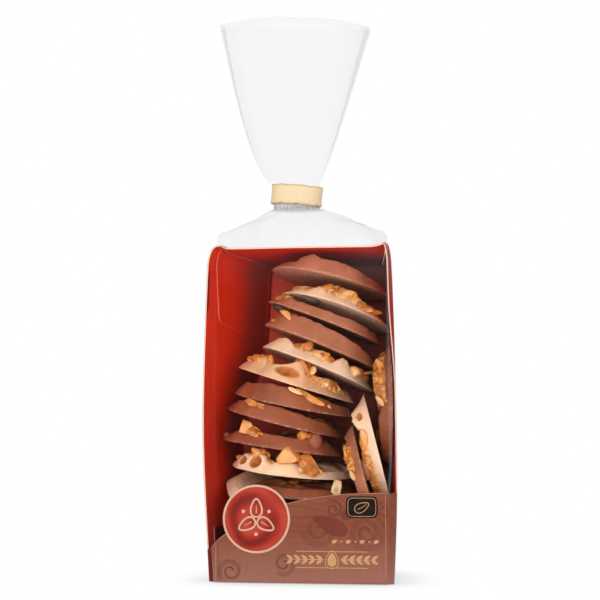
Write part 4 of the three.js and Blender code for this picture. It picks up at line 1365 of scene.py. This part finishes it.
# The stack from the top down to where the front panel hides it, with a plain cookie behind the panel's
# top, then the three that stand on edge at the right, then the stack's hidden foot.
COOKIES = [
    cookie(1, "milk_pale", (10.0, 0.5, 127.0), 13.0, 6.5, 26.4, 4.4,
           rim=((-1, 2.4), (-0.8, 3.0), (-0.56, 3.8), (-0.5, 5.4), (-0.42, 6.5), (-0.29, 7.6), (-0.2, 7.1),
                (-0.12, 6.4), (0.17, 6.9), (0.4, 6.3), (0.64, 5.2), (1, 3.2))),
    cookie(2, "white", (12.6, 0.0, 114.4), 17.6, 9.0, 25.2, 3.4, crag=4.8,
           rim=((-1, 1.6), (-0.7, 2.6), (-0.5, 3.2), (-0.4, 4.6), (-0.3, 4.9), (-0.2, 3.6), (0, 2.6),
                (0.5, 2.2), (1, 1.8)),
           crust=((-1, 3.0), (-0.9, 5.0), (-0.75, 4.4), (-0.42, 4.0), (-0.25, 7.0), (-0.08, 7.8),
                  (0.13, 7.3), (0.38, 7.9), (0.45, 6.0), (0.77, 4.8), (0.9, 3.2), (1, 2.6)),
           flakes=[(-0.92, -0.45, 4, 0.1, 0.7), (-0.28, 0.42, 8, 0.1, 1.1), (0.42, 0.92, 5, 0.0, 0.8)],
           lobes=[Lobe(-0.50, -0.6, (8.4, 6.0, 3.2), 4.6, 1.0)]),
    cookie(3, "milk_pale", (7.0, 0.5, 110.1), 21.0, 3.0, 26.0, 3.8,
           rim=((-1, 2.0), (-0.8, 3.0), (-0.6, 3.8), (0.6, 4.6), (1, 3.6)), crag=2.2,
           crust=((-1, 4.0), (-0.9, 4.8), (-0.7, 4.6), (-0.6, 3.4), (0.7, 4.0), (1, 3.0)),
           flakes=[(-0.92, -0.66, 4, 0.0, 0.25)],
           lobes=[Lobe(-0.80, -1.1, (9.6, 6.0, 4.0), 4.4, 1.0)]),
    cookie(4, "milk_pale", (6.1, 0.0, 99.2), 22.0, 4.0, 27.1, 4.6,
           rim=((-1, 3.4), (-0.95, 5.0), (-0.9, 4.5), (-0.78, 7.6), (-0.7, 8.2), (-0.58, 7.9), (-0.36, 8.5),
                (-0.09, 8.0), (0.39, 7.2), (0.67, 5.9), (1, 3.6)),
           crust=((-1, 4.4), (-0.97, 6.4), (-0.88, 7.0), (-0.82, 5.6), (-0.76, 8.4), (-0.6, 8.6),
                  (-0.5, 7.0), (0.6, 5.0), (1, 3.0)), crag=2.6,
           flakes=[(-0.86, -0.78, 2, 0.1, 0.4)],
           nuts=[Nut(-0.68, 6.6, "dome", (7.4, 4.0, 3.8), 6, -20, back=2.4, tone=0.5)]),
    cookie(5, "white", (4.3, 0.0, 89.7), 21.5, 6.0, 25.8, 4.0, crag=3.6,
           rim=((-1, 2.8), (-0.8, 5.6), (-0.65, 6.8), (-0.52, 5.4), (-0.44, 3.6), (-0.2, 2.9), (0.2, 2.9),
                (0.34, 3.6), (0.42, 6.0), (0.5, 7.2), (0.6, 6.9), (0.68, 4.6), (0.8, 3.0), (1, 2.2)),
           crust=((-1, 2.0), (-0.55, 3.4), (-0.44, 5.8), (-0.25, 7.4), (-0.1, 6.4), (0.0, 6.0), (0.22, 6.6),
                  (0.36, 5.2), (0.5, 3.0), (0.64, 3.4), (0.72, 5.6), (0.84, 6.4), (0.98, 6.6), (1, 5.0)),
           flakes=[(-0.42, 0.30, 8, -0.1, 0.6), (0.70, 0.95, 4, 0.2, 1.0)],
           nuts=[Nut(-0.18, 6.7, "slice", (4.6, 3.8, 1.4), 80, 74, back=2.6, tone=0.15),
                 Nut(0.93, 6.0, "slice", (6.4, 4.0, 1.0), 10, 34, back=2.6, tone=0.75),
                 Nut(0.78, 5.0, "slice", (5.0, 3.4, 1.0), 40, -20, back=2.6, tone=0.65)]),
    cookie(6, "white_tan", (-5.1, 0.0, 83.2), 17.4, 0.5, 26.0, 4.2, crag=2.6,
           rim=((-1, 2.4), (-0.9, 4.2), (-0.8, 4.8), (-0.74, 7.4), (-0.68, 8.0), (-0.6, 7.6), (-0.54, 4.9),
                (-0.46, 5.6), (-0.17, 7.3), (0.02, 9.8), (0.12, 11.0), (0.2, 9.6), (0.26, 5.6), (0.36, 3.4),
                (0.6, 2.6), (1, 2.0)),
           crust=((-1, 3.4), (-0.9, 7.4), (-0.57, 9.0), (-0.5, 6.8), (-0.44, 4.0), (-0.1, 5.0), (0.05, 9.0),
                  (0.15, 11.4), (0.27, 10.7), (0.37, 8.9), (0.41, 6.3), (0.55, 6.2), (0.7, 6.6),
                  (0.84, 6.0), (0.94, 3.4), (1, 2.4)),
           marks=[Mark(-0.08, 4.9, (6.4, 4.5, 2.3), -1.6, 0.35, 1.0, 0.25, 0.95)],
           flakes=[(-0.94, -0.6, 4, 0.1, 0.45), (0.12, 0.36, 4, 0.0, 0.3), (0.42, 0.88, 7, 0.15, 0.85)],
           nuts=[Nut(0.35, 8.7, "slice", (4.4, 3.4, 1.0), 70, 66, back=3.0, tone=0.8),
                 Nut(0.24, 8.0, "slice", (9.0, 5.0, 1.6), 30, -44, back=3.4, tone=0.4),
                 Nut(0.62, 4.4, "chunk", (5.0, 3.0, 2.4), 10, -10, back=2.6, tone=0.8)]),
    cookie(7, "milk", (-5.6, 0.0, 74.6), 11.4, -2.0, 26.0, 4.6,
           rim=((-1, 3.2), (-0.93, 6.0), (-0.4, 8.0), (0.04, 7.7), (0.3, 7.0), (0.7, 5.4), (1, 3.4)),
           marks=[Mark(-0.92, 4.6, (3.6, 5.0, 2.6), 0.3, 0.3)],
           nuts=[Nut(0.42, 5.0, "slice", (15.0, 3.0, 1.5), -14, -16, 66, back=1.5, tone=0.42),
                 Nut(0.12, 7.0, "slice", (7.0, 2.0, 1.2), -10, -13, 62, back=1.8, tone=0.8),
                 Nut(0.26, 6.3, "chunk", (4.4, 2.0, 2.2), -10, -14, 30, back=1.9, tone=0.3),
                 Nut(0.68, 3.3, "chunk", (4.4, 2.0, 2.0), -16, -18, 20, back=1.4, tone=0.6)]),
    cookie(8, "milk", (-10.0, 0.0, 66.9), 14.2, -1.0, 26.0, 3.9,
           rim=((-1, 2.6), (-0.9, 5.0), (-0.62, 6.6), (-0.25, 7.2), (0.37, 6.4), (0.8, 4.8), (1, 3.0)),
           nuts=[Nut(-0.50, 5.9, "chunk", (7.4, 4.0, 4.4), 8, -14, back=2.0, tone=0.35),
                 Nut(-0.34, 5.8, "chunk", (4.4, 3.0, 3.0), 30, back=1.9, tone=0.55),
                 Nut(-0.62, 6.2, "chunk", (3.4, 3.0, 2.4), 70, back=2.0, tone=0.25)]),
    cookie(9, "milk", (-11.0, 0.0, 56.2), 8.2, -0.5, 26.0, 4.6,
           rim=((-1, 1.6), (-0.9, 3.4), (-0.8, 4.8), (-0.72, 5.5), (-0.31, 5.6), (0.43, 5.5), (0.6, 6.2),
                (0.75, 5.6), (0.94, 3.4), (1, 2.4)),
           nuts=[Nut(-0.62, 7.0, "block", (5.2, 4.2, 6.0), 8, -4, back=3.2, tone=0.42),
                 Nut(-0.44, 5.6, "wedge", (6.0, 4.0, 4.4), -6, -16, back=3.2, tone=0.25),
                 Nut(-0.30, 5.2, "chunk", (4.0, 3.0, 1.8), -6, -10, back=3.2, tone=0.3),
                 Nut(0.47, 6.6, "chunk", (6.6, 4.4, 5.2), 20, -22, back=3.2, tone=0.3),
                 Nut(0.56, 7.4, "chunk", (4.0, 3.4, 2.6), 60, 20, back=2.6, tone=0.2)],
           lobes=[Lobe(0.67, 5.2, (7.6, 5.6, 9.0), 3.2), Lobe(-0.975, 1.9, (3.4, 5.0, 2.6), 1.3)]),
    cookie(10, "white", (-7.1, 0.0, 46.0), 6.2, -3.5, 26.2, 4.0, crag=2.6,
           rim=((-1, 3.0), (-0.93, 5.2), (-0.87, 4.9), (-0.8, 6.4), (-0.74, 5.8), (-0.66, 7.6), (-0.6, 7.0),
                (-0.5, 6.9), (-0.42, 7.2), (-0.36, 4.8), (-0.26, 3.9), (-0.12, 5.0), (0.15, 5.2),
                (0.24, 3.2), (0.3, 1.6), (0.55, 1.6), (0.68, 2.6), (0.88, 3.0), (1, 2.6)),
           crust=((-1, 3.4), (-0.89, 6.4), (-0.8, 6.6), (-0.7, 7.2), (-0.62, 9.0), (-0.5, 9.4),
                  (-0.42, 8.0), (-0.34, 5.6), (-0.2, 4.4), (0.0, 4.4), (0.3, 5.0), (0.5, 5.0),
                  (0.64, 3.6), (1, 2.2)),
           flakes=[(-0.92, -0.50, 5, 0.2, 0.6), (0.3, 0.66, 3, 0.0, 0.3)],
           marks=[Mark(-0.94, 3.7, (2.5, 4.2, 2.2), -2.0, 0.5, 1.0, 0.2, 0.95),
                  Mark(-0.77, 4.3, (2.6, 3.8, 2.3), -2.2, 0.6, 1.0, 0.2, 0.95),
                  Mark(-0.53, 4.6, (4.0, 3.8, 2.9), -2.8, 0.7, 1.0, 0.2, 1.0),
                  Mark(0.08, 3.4, (6.0, 5.0, 3.6), 1.5, 0, -1.0)],
           nuts=[Nut(-0.57, 8.5, "chunk", (4.6, 4.0, 4.8), 5, 20, back=3.0, tone=0.6),
                 Nut(0.06, 8.0, "dome", (10.4, 6.4, 9.0), 4, 10, back=3.2, tone=0.5),
                 Nut(0.41, 5.6, "wedge", (12.4, 4.4, 6.4), -16, -40, 6, back=3.4, tone=0.22),
                 Nut(0.33, 6.0, "chunk", (3.6, 3.0, 5.6), 20, -44, back=2.6, tone=0.35),
                 Nut(0.50, 4.0, "chunk", (6.6, 2.6, 2.0), -10, -40, 30, back=2.2, tone=0.45),
                 Nut(0.58, 3.8, "chunk", (6.4, 3.4, 2.6), -20, -26, back=2.6, tone=0.6)]),
    cookie(11, "white", (-12.5, 1.0, 30.5), 27.0, -17.0, 25.0, 4.4, lumps=3, lump_height=0.6,
           top_caramel=(2, 3), dusk=(-0.5, 0.5, 0.55), more_nuts=0,
           rim=((-1, 3.6), (-0.7, 4.6), (0.6, 4.4), (1, 3.0))),
    cookie(12, "milk", (-3.5, 2.5, 36.5), 4.0, -4.0, 25.0, 4.0, hidden=True,
           nuts=[Nut(0.76, 4.6, "block", (4.4, 4.0, 8.4), 0, -8, back=2.0, tone=0.9)]),
    cookie(13, "milk_pale", (26.6, 0.0, 41.0), -105.0, 0.0, 25.8, 4.0, yaw=4.0, crag=2.4,
           flakes=[(0.12, 0.9, 8, 0.0, 0.5)], dusk=(-1.4, 0.2, 0.0),
           lobes=[Lobe(0.3, -1.2, (10.0, 5.0, 4.2), 5.0, 0.4)],
           rim=((-1, 3.0), (-0.3, 4.6), (0.1, 4.4), (0.3, 3.0), (0.4, 2.6), (0.84, 3.2), (0.92, 4.8),
                (1, 3.4)),
           crust=((-1, 3.0), (0.1, 4.0), (0.26, 5.0), (0.4, 5.8), (0.6, 6.0), (0.8, 5.6), (0.9, 4.0),
                  (1, 3.0)),
           nuts=[Nut(0.22, 4.6, "chunk", (5.4, 3.6, 3.0), 0, 10, back=2.4, tone=0.95),
                 Nut(0.62, 5.2, "chunk", (4.4, 3.4, 2.4), 20, back=2.4, tone=0.6),
                 Nut(0.74, 5.2, "chunk", (3.4, 3.0, 2.2), 50, back=2.4, tone=0.75)]),
    cookie(14, "white", (31.0, -0.5, 54.0), -104.0, 0.0, 25.8, 4.0, yaw=6.0, crag=2.6,
           dusk=(-1.4, 0.2, 0.0),
           rim=((-1, 2.4), (-0.5, 3.0), (0.1, 3.4), (0.45, 4.0), (0.56, 6.4), (0.68, 7.6), (0.82, 7.2),
                (0.93, 4.8), (1, 2.0)),
           crust=((-1, 4.6), (-0.5, 6.4), (0.0, 6.6), (0.3, 6.2), (0.46, 5.4), (0.56, 4.6), (0.8, 4.0),
                  (1, 2.0)),
           marks=[Mark(0.66, 4.4, (2.0, 4.0, 1.5), -1.3, 0.3, 1.0, 0.3, 0.8)],
           nuts=[Nut(0.36, 4.4, "slice", (7.0, 3.0, 1.1), -4, 4, 60, back=1.8, tone=0.7)]),
    cookie(15, "milk", (36.3, -1.0, 74.5), -90.5, 0.0, 25.8, 4.2, yaw=7.4, crag=3.0,
           flakes=[(0.08, 0.94, 10, 0.0, 0.6)], dusk=(-1.4, 0.2, 0.25),
           rim=((-1, 3.6), (-0.6, 5.4), (-0.3, 5.6), (-0.1, 5.0), (0.08, 2.8), (0.4, 2.2), (0.8, 2.2),
                (1, 2.4)),
           crust=((-1, 3.0), (-0.12, 3.0), (0.1, 6.0), (0.3, 7.4), (0.6, 7.8), (0.84, 7.0), (1, 4.0)),
           nuts=[Nut(0.08, 5.4, "slice", (6.0, 3.4, 1.0), -30, 30, 50, back=2.2, tone=0.9)]),
    cookie(16, "white", (-6.0, 0.5, 19.5), 8.0, 1.0, hidden=True),
    cookie(17, "milk", (-7.0, 0.0, 10.5), 3.0, 0.0, hidden=True),
    cookie(18, "white", (-4.0, 1.0, 1.05), 0.0, 0.0, hidden=True),
]


def near_rim(spec, s, back, up):
    """A place set back from a cookie's front rim, at a height over its base."""
    reach = spec.radius - back
    return np.array([s * reach, -math.sqrt(max(0.0, 1 - s ** 2)) * reach, up])


def cookie_lobes(spec, masks):
    """A cookie's rounded lumps of its own chocolate, and dark drips under it, whose darkness is painted
    shade. The masks grow by the lumps' points."""
    ball, faces = COARSE_SPHERE
    parts = []
    for lobe in spec.lobes:
        points = ball * np.array(lobe.size) / 2
        points = points + 0.18 * fractal(points, 3.0, spec.seed + 60)[:, None] * ball
        parts.append((points + near_rim(spec, lobe.s, lobe.back, lobe.up), faces))
        for key, values in masks.items():
            value = lobe.dark * DRIP_MASK.get(key, 0.0)
            masks[key] = np.concatenate([values, np.full(len(ball), value)])
    return parts


def cookie_nuts(spec, rng):
    """A cookie's almond pieces as (points, faces, skin, tone): its own, then flakes sunk into its
    caramel wall, then a few more on its top."""
    nuts = []
    for nut in spec.nuts:
        points, faces, skin = almond_piece(rng, nut.kind, nut.size)
        points = turned(points, nut.turn, nut.tilt, nut.spin)
        nuts.append((points + near_rim(spec, nut.s, nut.back, nut.up), faces, skin, nut.tone))
    for start, end, count, tone_low, tone_high in spec.flakes:
        for k in range(count):
            s = lerp(start, end, (k + 0.2 + 0.6 * rng.random()) / count)
            wall_top = float(np.interp(s, *zip(*spec.crust)))
            size = (5.0 + 3.6 * rng.random(), 3.4 + 1.8 * rng.random(), 1.6 + 1.4 * rng.random())
            points, faces, skin = almond_piece(rng, "chunk", size)
            points = turned(points, 60 * (rng.random() - 0.5), 44 * (rng.random() - 0.5),
                            30 + 50 * rng.random())
            at = near_rim(spec, s, 3.4 + 2.6 * rng.random(), wall_top - 1.8 - 1.6 * rng.random())
            nuts.append((points + at, faces, 0.4 * skin, lerp(tone_low, tone_high, rng.random())))
    for _ in range(spec.more_nuts):
        kind = "slice" if rng.random() < 0.6 else "chunk"
        size = (7 + 3 * rng.random(), 4.5 + rng.random(), 1.4 if kind == "slice" else 2.8)
        r = (spec.radius - 11) * math.sqrt(rng.random())
        a = rng.random() * 2 * math.pi
        at = np.array([r * math.cos(a), r * math.sin(a), spec.height + 0.3 + 0.4 * spec.lump_height])
        points, faces, skin = almond_piece(rng, kind, size, COARSE_SPHERE)
        points = turned(points, rng.random() * 360, rng.random() * 14, 0)
        nuts.append((points + at, faces, skin, rng.random()))
    return nuts


def make_cookie(spec, chocolate, almond):
    """One florentine: its chocolate body, and its almonds as a second piece on it."""
    rng = np.random.default_rng(spec.seed)
    name = f"florentine_{spec.number:02d}"

    def make_part(name, parts, material, masks):
        points, faces, kinds = joined([(p, f, [0] * len(f)) for p, f in parts])
        points = turned(points, spec.yaw, -spec.roll, -spec.pitch) + np.array(spec.at)
        make_piece(name, points, faces, [material], kinds, ["florentines"], masks)

    *body, masks = cookie_body(spec, rng)
    parts = [body] + cookie_lobes(spec, masks)
    make_part(name, parts, chocolate, masks)
    nuts = cookie_nuts(spec, rng)
    if nuts:
        masks = {"skin": np.concatenate([skin for *_, skin, _ in nuts]),
                 "tone": np.concatenate([np.full(len(skin), tone) for *_, skin, tone in nuts])}
        make_part(name + "_almonds", [nut[:2] for nut in nuts], almond, masks)


# ------------------------------------------------------------------ studio

CAMERA = SimpleNamespace(azimuth=math.radians(8), to_front=700.0, eye=69.0, aim_right=0.85, aim_z=118.5,
                         focal_px=1667.0, image_px=600.0, sensor=36.0)
AMBIENT = 0.30  # how bright the white room is as light; the eye sees it pure white
FLOOR_GLOW = 0.35  # the floor's own light, so that it also lights what faces down
FLOOR_RINGS = (120, 260, 500, 900, 1500, 2200, 3000, 3600, 4000)  # radii, mm
FLOOR_FLAT = 2200.0  # the floor rises beyond this radius, mm
LIGHTS = (  # name, place and aim in mm, size in mm, watts
    ("key", (-560, -800, 520), (0, 0, 90), 900, 4.5),
    ("fill", (640, -700, 260), (0, 0, 90), 700, 2.35),
    ("front", (60, -1000, 130), (0, 0, 100), 640, 5.9),
    ("rim", (300, 700, 600), (0, 0, 120), 500, 4),
)


def looking(eye, aim):
    """The turn of a camera or light at one place that looks at another."""
    return (aim - eye).to_track_quat("-Z", "Y").to_euler()


def make_camera():
    """A long lens a little to the right of the front, at the height of the pack's belly."""
    back = Vector((math.sin(CAMERA.azimuth), -math.cos(CAMERA.azimuth), 0))
    right = Vector((math.cos(CAMERA.azimuth), math.sin(CAMERA.azimuth), 0))
    reach = CAMERA.to_front - CARTON.front * math.cos(CAMERA.azimuth)
    eye = back * reach + Vector((0, 0, CAMERA.eye))
    aim = Vector((0, CARTON.front, 0)) + right * CAMERA.aim_right
    aim.z = CAMERA.aim_z
    data = bpy.data.cameras.new("camera")
    data.sensor_width = CAMERA.sensor
    data.lens = CAMERA.sensor * CAMERA.focal_px / CAMERA.image_px
    data.clip_start, data.clip_end = 0.05, 20
    camera = link_object("camera", data)
    camera.location = eye * MM
    camera.rotation_euler = looking(eye, aim)
    bpy.context.scene.camera = camera


def make_world():
    """A white studio: pure white to the eye, and dim as light."""
    world = bpy.data.worlds.new("studio")
    bpy.context.scene.world = world
    t = Tree(world)
    seen = t.add("LightPath").outputs["Is Camera Ray"]
    strength = t.math("ADD", t.times(seen, 1 - AMBIENT), AMBIENT)
    background = t.add("Background", {"Color": (1, 1, 1, 1), "Strength": strength})
    t.add("OutputWorld", {"Surface": background.outputs[0]})


def floor_material():
    """Nearly white. To the eye it glows evenly but for a soft contact shadow painted from ambient
    occlusion; as light it is lit and glows faintly.
    """
    material, t = new_material("floor")
    base = t.mix(t.grey(t.noise(400, detail=1), (0.3, 0.0), (0.7, 1.0)), COLOUR.floor, COLOUR.floor_deep)
    lit = t.add("BsdfPrincipled", {
        "Base Color": base, "Roughness": 0.9, "Emission Color": base, "Emission Strength": FLOOR_GLOW,
    })
    # Painted shadow: the glow the eye sees darkens where ambient occlusion finds the pack close.
    contact = t.add("AmbientOcclusion", {"Distance": 24 * MM}, samples=8).outputs["AO"]
    glow = t.add("Emission", {"Color": t.grey(contact, (0.2, 0.62), (0.95, 1.0)), "Strength": 1.0})
    seen = t.add("LightPath").outputs["Is Camera Ray"]
    t.finish(t.add("MixShader", {0: seen, 1: lit.outputs[0], 2: glow.outputs[0]}))
    return material


def make_floor(around=96):
    """A wide pale floor whose far rim curves up out of sight."""
    rings = [circle(full_turn(around), r, max(0.0, r - FLOOR_FLAT) ** 2 / 9000) for r in FLOOR_RINGS]
    points = np.concatenate(rings + [[[0, 0, 0]]])
    faces = grid_faces(len(rings), around, closed=True) + fan(0, around, len(points) - 1, flipped=True)
    mesh = bpy.data.meshes.new("floor")
    mesh.from_pydata((points * MM).tolist(), [], faces)
    mesh.materials.append(floor_material())
    mesh.update()
    floor = link_object("floor", mesh)


def make_light(name, at, aim, size, watts):
    """A soft square light at a place, aimed at a point, both in mm."""
    data = bpy.data.lights.new(name, "AREA")
    data.shape = "SQUARE"
    data.size = size * MM
    data.energy = watts
    light = link_object(name, data)
    light.location = Vector(at) * MM
    light.rotation_euler = looking(Vector(at), Vector(aim))


# ------------------------------------------------------------------ the pack

CHOCOLATES = {  # light, dark, scuffs, underside, roughness
    "milk": (COLOUR.milk, COLOUR.milk_dark, COLOUR.milk_scuff, COLOUR.milk_under, 0.42),
    # Painted light: a paler, lit copy of the milk chocolate for some of the cookies.
    "milk_pale": (COLOUR.milk_pale, COLOUR.milk_pale_dark, COLOUR.milk_scuff, COLOUR.milk_under, 0.42),
    "white": (COLOUR.white, COLOUR.white_warm, COLOUR.white, COLOUR.white_under, 0.46),
    "white_tan": (COLOUR.tan_white, COLOUR.tan_white_warm, COLOUR.white, COLOUR.white_under, 0.46),
}


def make_pack():
    film = film_material("film", 0.966, 0.004, 7, 0.28)
    film_flare = film_material("film_flare", 0.962, 0.02, 9, 0.05)
    red = print_material("red_print", COLOUR.red_outside, COLOUR.red_outside_deep)
    red_inside = print_material("red_inside", COLOUR.red, COLOUR.red_deep, 0.42, COLOUR.red_inner)
    maroon = print_material("maroon_print", COLOUR.maroon, COLOUR.maroon_deep, 0.45)
    side_red = print_material("side_print", COLOUR.side_red, COLOUR.maroon)
    raw = raw_card_material("raw_card", COLOUR.raw_card, COLOUR.raw_card_deep)
    raw_pink = raw_card_material("raw_card_pink", COLOUR.raw_pink, COLOUR.raw_pink_deep)
    brown = panel_material()
    cream = ink_material("cream_ink", COLOUR.cream)
    make_film_body(film)
    make_film_flare(film_flare)
    make_film_seam(film)
    make_carton(red, red_inside, raw)
    make_side_flap("carton_lid_flap", (-16.0, 110.8), (-20.5, 139.0),
                   ((-16, 110.8), (3.5, 106.0), (28, 103.0)), 140.7, 28.2,
                   [red_inside, red_inside, raw_pink])
    make_side_flap("carton_panel_flap", (-20.2, 1.4), (-18.6, 22.0),
                   ((-20.2, 1.4), (10.0, 1.4)), 22.6, 10.0, [maroon, maroon, raw_pink])
    make_front_panel(brown, red_inside, raw, side_red)
    make_badge(badge_material(), red_inside, cream)
    make_scrolls(ink_material("tone_ink", COLOUR.brown_line), ink_material("glow_ink", COLOUR.brown_glow))
    make_folds(ink_material("pale_ink", COLOUR.brown_edge))
    tan = ink_material("tan_ink", COLOUR.tan)
    make_border(tan)
    make_plaque(ink_material("plaque_ink", COLOUR.plaque), tan)
    make_tie(tie_material())
    chocolates = {key: chocolate_material(key + "_chocolate", *look) for key, look in CHOCOLATES.items()}
    almond = almond_material()
    for spec in COOKIES:
        make_cookie(spec, chocolates[spec.chocolate], almond)


make_camera()
make_world()
make_floor()
for light in LIGHTS:
    make_light(*light)
make_pack()
bpy.context.scene.view_settings.view_transform = "Standard"
